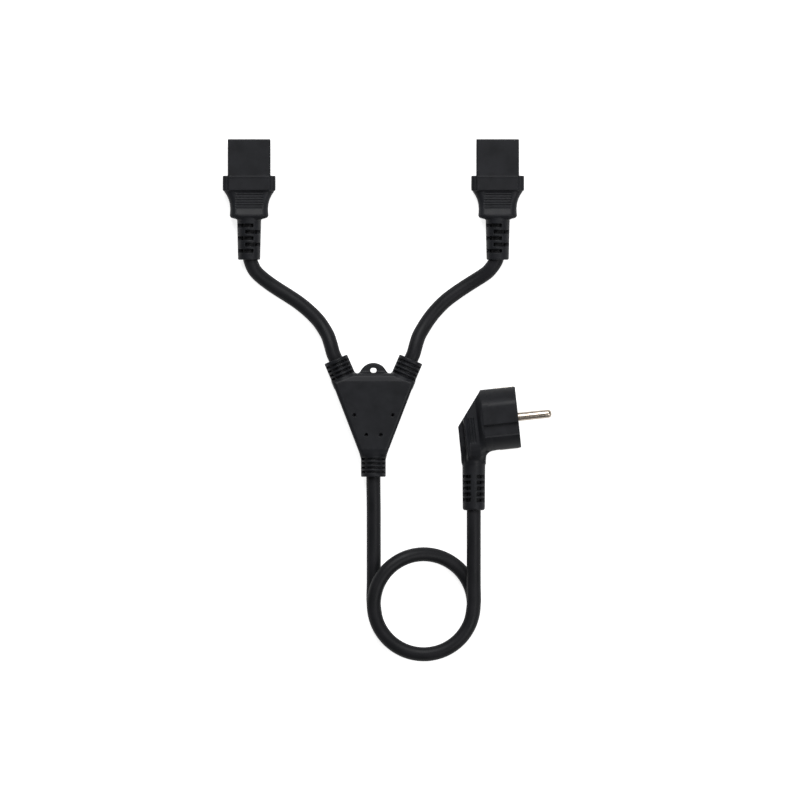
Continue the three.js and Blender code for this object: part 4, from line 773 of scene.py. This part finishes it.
# %% Soft PVC
def soft_pvc(name, grain_mm, grain_depth):
    material, tree, shader = new_material(name)
    place = add(tree, "ShaderNodeTexCoord").outputs["Object"]
    grain = add(tree, "ShaderNodeTexNoise", links={"Vector": place},
                values={"Scale": 1000 / grain_mm, "Detail": 2.0, "Roughness": 0.55})
    patches = add(tree, "ShaderNodeTexNoise", links={"Vector": place},
                  values={"Scale": 1000 / 9.0, "Detail": 3.0, "Roughness": 0.6})
    sink = add(tree, "ShaderNodeTexNoise", links={"Vector": place},
               values={"Scale": 1000 / 14.0, "Detail": 1.0})
    tree.links.new(ramp(tree, patches.outputs["Fac"], "#1a1b1e", "#212226"), shader.inputs["Base Color"])
    tree.links.new(between(tree, patches.outputs["Fac"], 0.40, 0.50), shader.inputs["Roughness"])
    fine = add(tree, "ShaderNodeBump", links={"Height": grain.outputs["Fac"]},
               values={"Strength": 0.6, "Distance": grain_depth * MM})
    soft = add(tree, "ShaderNodeBump",
               links={"Height": sink.outputs["Fac"], "Normal": fine.outputs["Normal"]},
               values={"Strength": 0.5, "Distance": 0.25 * MM})
    tree.links.new(soft.outputs["Normal"], shader.inputs["Normal"])
    shader.inputs["Specular IOR Level"].default_value = 0.2
    return material


moulded = soft_pvc("soft_pvc_moulded", 0.45, 0.05)
give(moulded, joint, plug, *connectors.values())
print("Finish made:", moulded.name)

# %% [markdown]
# ## Cord sheath
# The sheath is extruded, not moulded: the die leaves very fine streaks along the cord, and the three cores
# inside press through as a barely visible twist. The UV map runs around and along the cord in
# millimetres, so a noise that is stretched along it gives the streaks.

# %% Cord sheath
def cord_sheath():
    material, tree, shader = new_material("pvc_sheath_extruded")
    uv = add(tree, "ShaderNodeTexCoord").outputs["UV"]
    stretched = add(tree, "ShaderNodeMapping", links={"Vector": uv}, values={"Scale": (2.2, 0.05, 1.0)})
    streaks = add(tree, "ShaderNodeTexNoise", links={"Vector": stretched.outputs["Vector"]},
                  values={"Scale": 1.0, "Detail": 2.0})
    place = add(tree, "ShaderNodeTexCoord").outputs["Object"]
    patches = add(tree, "ShaderNodeTexNoise", links={"Vector": place},
                  values={"Scale": 1000 / 12.0, "Detail": 3.0})
    dull = add(tree, "ShaderNodeTexNoise", links={"Vector": place},
               values={"Scale": 1000 / 0.6, "Detail": 1.0})
    tree.links.new(ramp(tree, patches.outputs["Fac"], "#1b1c1e", "#222225"), shader.inputs["Base Color"])
    tree.links.new(between(tree, patches.outputs["Fac"], 0.40, 0.52), shader.inputs["Roughness"])
    lines = add(tree, "ShaderNodeBump", links={"Height": streaks.outputs["Fac"]},
                values={"Strength": 0.5, "Distance": 0.05 * MM})
    skin_grain = add(tree, "ShaderNodeBump",
                     links={"Height": dull.outputs["Fac"], "Normal": lines.outputs["Normal"]},
                     values={"Strength": 0.4, "Distance": 0.03 * MM})
    tree.links.new(skin_grain.outputs["Normal"], shader.inputs["Normal"])
    shader.inputs["Specular IOR Level"].default_value = 0.15
    return material


give(cord_sheath(), *[cord["piece"] for cord in cords.values()])
print("Finish made: pvc_sheath_extruded")

# %% [markdown]
# ## Hard plastics
# The inserts and the bridge are glass-filled polyester, black and dull with a slightly speckled skin. The
# carrier in the joint is uncoloured polypropylene, milky and a little waxy.

# %% Hard plastics
def hard_plastic(name, dark, light, rough_low, rough_high, speckle_mm):
    material, tree, shader = new_material(name)
    place = add(tree, "ShaderNodeTexCoord").outputs["Object"]
    speckle = add(tree, "ShaderNodeTexNoise", links={"Vector": place},
                  values={"Scale": 1000 / speckle_mm, "Detail": 3.0, "Roughness": 0.6})
    broad = add(tree, "ShaderNodeTexNoise", links={"Vector": place},
                values={"Scale": 1000 / 6.0, "Detail": 2.0})
    tree.links.new(ramp(tree, speckle.outputs["Fac"], dark, light), shader.inputs["Base Color"])
    tree.links.new(between(tree, broad.outputs["Fac"], rough_low, rough_high), shader.inputs["Roughness"])
    bump = add(tree, "ShaderNodeBump", links={"Height": speckle.outputs["Fac"]},
               values={"Strength": 0.5, "Distance": 0.03 * MM})
    tree.links.new(bump.outputs["Normal"], shader.inputs["Normal"])
    return material


polyester = hard_plastic("polyester_glass_filled", "#17171a", "#1e1e21", 0.5, 0.62, 0.5)
polypropylene = hard_plastic("polypropylene_natural", "#d6d2c4", "#e2dfd3", 0.4, 0.5, 0.8)
give(polyester, bridge, *inserts.values())
give(polypropylene, "joint_carrier")
print("Finishes made:", polyester.name, polypropylene.name)

# %% [markdown]
# ## Metals
# The pins and the strap are brass with bright nickel plating: warm grey, with fine turning rings around
# the pins and a few rub marks along them. Contacts are plain stamped brass, and the crimp sleeves are
# tinned copper. A metal keeps the default IOR, and its colour is that of its reflection.

# %% Metals
def metal(name, dark, light, rough_low, rough_high, line_scale, on_uv):
    material, tree, shader = new_material(name)
    texture = add(tree, "ShaderNodeTexCoord")
    place = texture.outputs["UV"] if on_uv else texture.outputs["Object"]
    lines = add(tree, "ShaderNodeMapping", links={"Vector": place}, values={"Scale": line_scale})
    brushed = add(tree, "ShaderNodeTexNoise", links={"Vector": lines.outputs["Vector"]},
                  values={"Scale": 1.0, "Detail": 3.0})
    rubs = add(tree, "ShaderNodeTexNoise", links={"Vector": texture.outputs["Object"]},
               values={"Scale": 1000 / 3.0, "Detail": 3.0, "Roughness": 0.65})
    tree.links.new(ramp(tree, rubs.outputs["Fac"], dark, light), shader.inputs["Base Color"])
    tree.links.new(between(tree, brushed.outputs["Fac"], rough_low, rough_high), shader.inputs["Roughness"])
    bump = add(tree, "ShaderNodeBump", links={"Height": brushed.outputs["Fac"]},
               values={"Strength": 0.3, "Distance": 0.008 * MM})
    tree.links.new(bump.outputs["Normal"], shader.inputs["Normal"])
    shader.inputs["Metallic"].default_value = 1.0
    return material


nickel_turned = metal("nickel_plate_turned", "#c2b5a6", "#d2c7ba", 0.2, 0.32, (0.05, 6.0, 1.0), True)
nickel_rolled = metal("nickel_plate_rolled", "#c6bfb6", "#d6d0c7", 0.22, 0.34, (400.0, 60.0, 2000.0), False)
brass_stamped = metal("brass_stamped", "#b08a45", "#c8a35c", 0.28, 0.42, (900.0, 80.0, 900.0), False)
copper_tinned = metal("copper_tinned", "#a9aaa8", "#bcbdbb", 0.34, 0.5, (700.0, 90.0, 700.0), False)
give(nickel_turned, *pins.values())
give(nickel_rolled, strap)
give(brass_stamped, "earth_socket", *[f"{side}_{pole}_contact" for side in ("left", "right")
                                      for pole in ("live", "neutral", "earth")])
give(copper_tinned, *[f"joint_{pole}_sleeve" for pole in ("live", "neutral", "earth")])
print("Finishes made:", nickel_turned.name, nickel_rolled.name, brass_stamped.name, copper_tinned.name)

# %% [markdown]
# ## Core insulation
# The cores have the usual colours: brown for live, blue for neutral, and green with yellow bands for
# earth. Core insulation is smooth and fairly glossy, with slight colour streaks from the extruder.

# %% Cores
def insulation(name, dark, light, sharp=False):
    material, tree, shader = new_material(name)
    place = add(tree, "ShaderNodeTexCoord").outputs["Object"]
    drawn = add(tree, "ShaderNodeMapping", links={"Vector": place}, values={"Scale": (900.0, 70.0, 900.0)})
    streaks = add(tree, "ShaderNodeTexNoise", links={"Vector": drawn.outputs["Vector"]},
                  values={"Scale": 0.6, "Detail": 1.0})
    edge = 0.02 if sharp else 0.2
    colour = ramp(tree, streaks.outputs["Fac"], dark, light, 0.5 - edge, 0.5 + edge)
    tree.links.new(colour, shader.inputs["Base Color"])
    tree.links.new(between(tree, streaks.outputs["Fac"], 0.3, 0.42), shader.inputs["Roughness"])
    bump = add(tree, "ShaderNodeBump", links={"Height": streaks.outputs["Fac"]},
               values={"Strength": 0.3, "Distance": 0.03 * MM})
    tree.links.new(bump.outputs["Normal"], shader.inputs["Normal"])
    return material


core_finish = {
    "live": insulation("pvc_brown_core", "#5d3218", "#6e3f22"),
    "neutral": insulation("pvc_blue_core", "#1d5ba3", "#2a6db8"),
    "earth": insulation("pvc_green_yellow_core", "#2f7a34", "#d8c62c", sharp=True),
}
for pole, finish in core_finish.items():
    cores = [f"joint_{cord}_{pole}_core" for cord in ("main", "left", "right")]
    give(finish, *cores, f"left_{pole}_core", f"right_{pole}_core", f"plug_{pole}_core")
print("Finishes made:", ", ".join(m.name for m in core_finish.values()))

# %% [markdown]
# ## Table and light
# The splitter lies on a plain white surface. To the camera that surface glows, and to reflections it glows
# a little, so that both see it white, while the light that falls on the object stays at a plain level. The
# surface still darkens a little where the splitter shades it. The main light is a wide soft box beyond the
# connectors; a weaker one stands at the lower right.

# %% Table
CAMERA_GLOW = 0.8
MIRROR_GLOW = 0.2
TABLE_HALF = 3.0


def table():
    material = bpy.data.materials.new("white_paper")
    material.use_nodes = True
    tree = material.node_tree
    tree.nodes.clear()
    place = add(tree, "ShaderNodeTexCoord").outputs["Object"]
    fibre = add(tree, "ShaderNodeTexNoise", links={"Vector": place}, values={"Scale": 1000 / 3.0})
    paper = add(tree, "ShaderNodeBsdfDiffuse",
                links={"Color": ramp(tree, fibre.outputs["Fac"], "#eeeeee", "#f2f2f2")})
    ray = add(tree, "ShaderNodeLightPath")
    mirrored_ray = add(tree, "ShaderNodeMath", operation="MAXIMUM",
                       links={0: ray.outputs["Is Glossy Ray"], 1: ray.outputs["Is Transmission Ray"]})
    mirrored_glow = add(tree, "ShaderNodeMath", operation="MULTIPLY",
                        links={0: mirrored_ray.outputs[0]}, values={1: MIRROR_GLOW})
    glow = add(tree, "ShaderNodeMath", operation="MULTIPLY_ADD",
               links={0: ray.outputs["Is Camera Ray"], 2: mirrored_glow.outputs[0]},
               values={1: CAMERA_GLOW})
    light = add(tree, "ShaderNodeEmission", links={"Strength": glow.outputs[0]})
    both = add(tree, "ShaderNodeAddShader", links={0: paper.outputs[0], 1: light.outputs[0]})
    add(tree, "ShaderNodeOutputMaterial", links={"Surface": both.outputs[0]})
    mesh = bpy.data.meshes.new("table")
    corners = [(TABLE_HALF * a, TABLE_HALF * b, -0.2 * MM) for a, b in ((-1, -1), (1, -1), (1, 1), (-1, 1))]
    mesh.from_pydata(corners, [], [(0, 1, 2, 3)])
    mesh.materials.append(material)
    made = bpy.data.objects.new("table", mesh)
    bpy.context.scene.collection.objects.link(made)


table()
print("The table is", 2 * TABLE_HALF, "m square.")


# %% Lights
def soft_box(name, place, size, watts):
    """A square lamp at a place in metres, turned to the middle of the splitter."""
    lamp = bpy.data.lights.new(name, "AREA")
    lamp.size, lamp.energy = size, watts
    made = bpy.data.objects.new(name, lamp)
    made.location = place
    towards = np.array([0.015, 0.01, 0.01]) - np.array(place)
    flat = math.hypot(towards[0], towards[1])
    made.rotation_euler = (math.atan2(flat, -towards[2]), 0, math.atan2(-towards[0], towards[1]))
    bpy.context.scene.collection.objects.link(made)
    return made


soft_box("upper_softbox", (0.0, 0.95, 1.2), 1.0, 17.5)
soft_box("right_softbox", (0.8, -0.5, 1.15), 0.8, 6.5)
world = bpy.data.worlds.new("studio")
world.use_nodes = True
bpy.context.scene.world = world
sky = world.node_tree
sky.nodes.clear()
surround = add(sky, "ShaderNodeBackground", values={"Color": linear("#ffffff"), "Strength": 0.12})
add(sky, "ShaderNodeOutputWorld", links={"Surface": surround.outputs[0]})
bpy.context.scene.view_settings.view_transform = "Standard"
print("Two soft boxes and an even surround.")
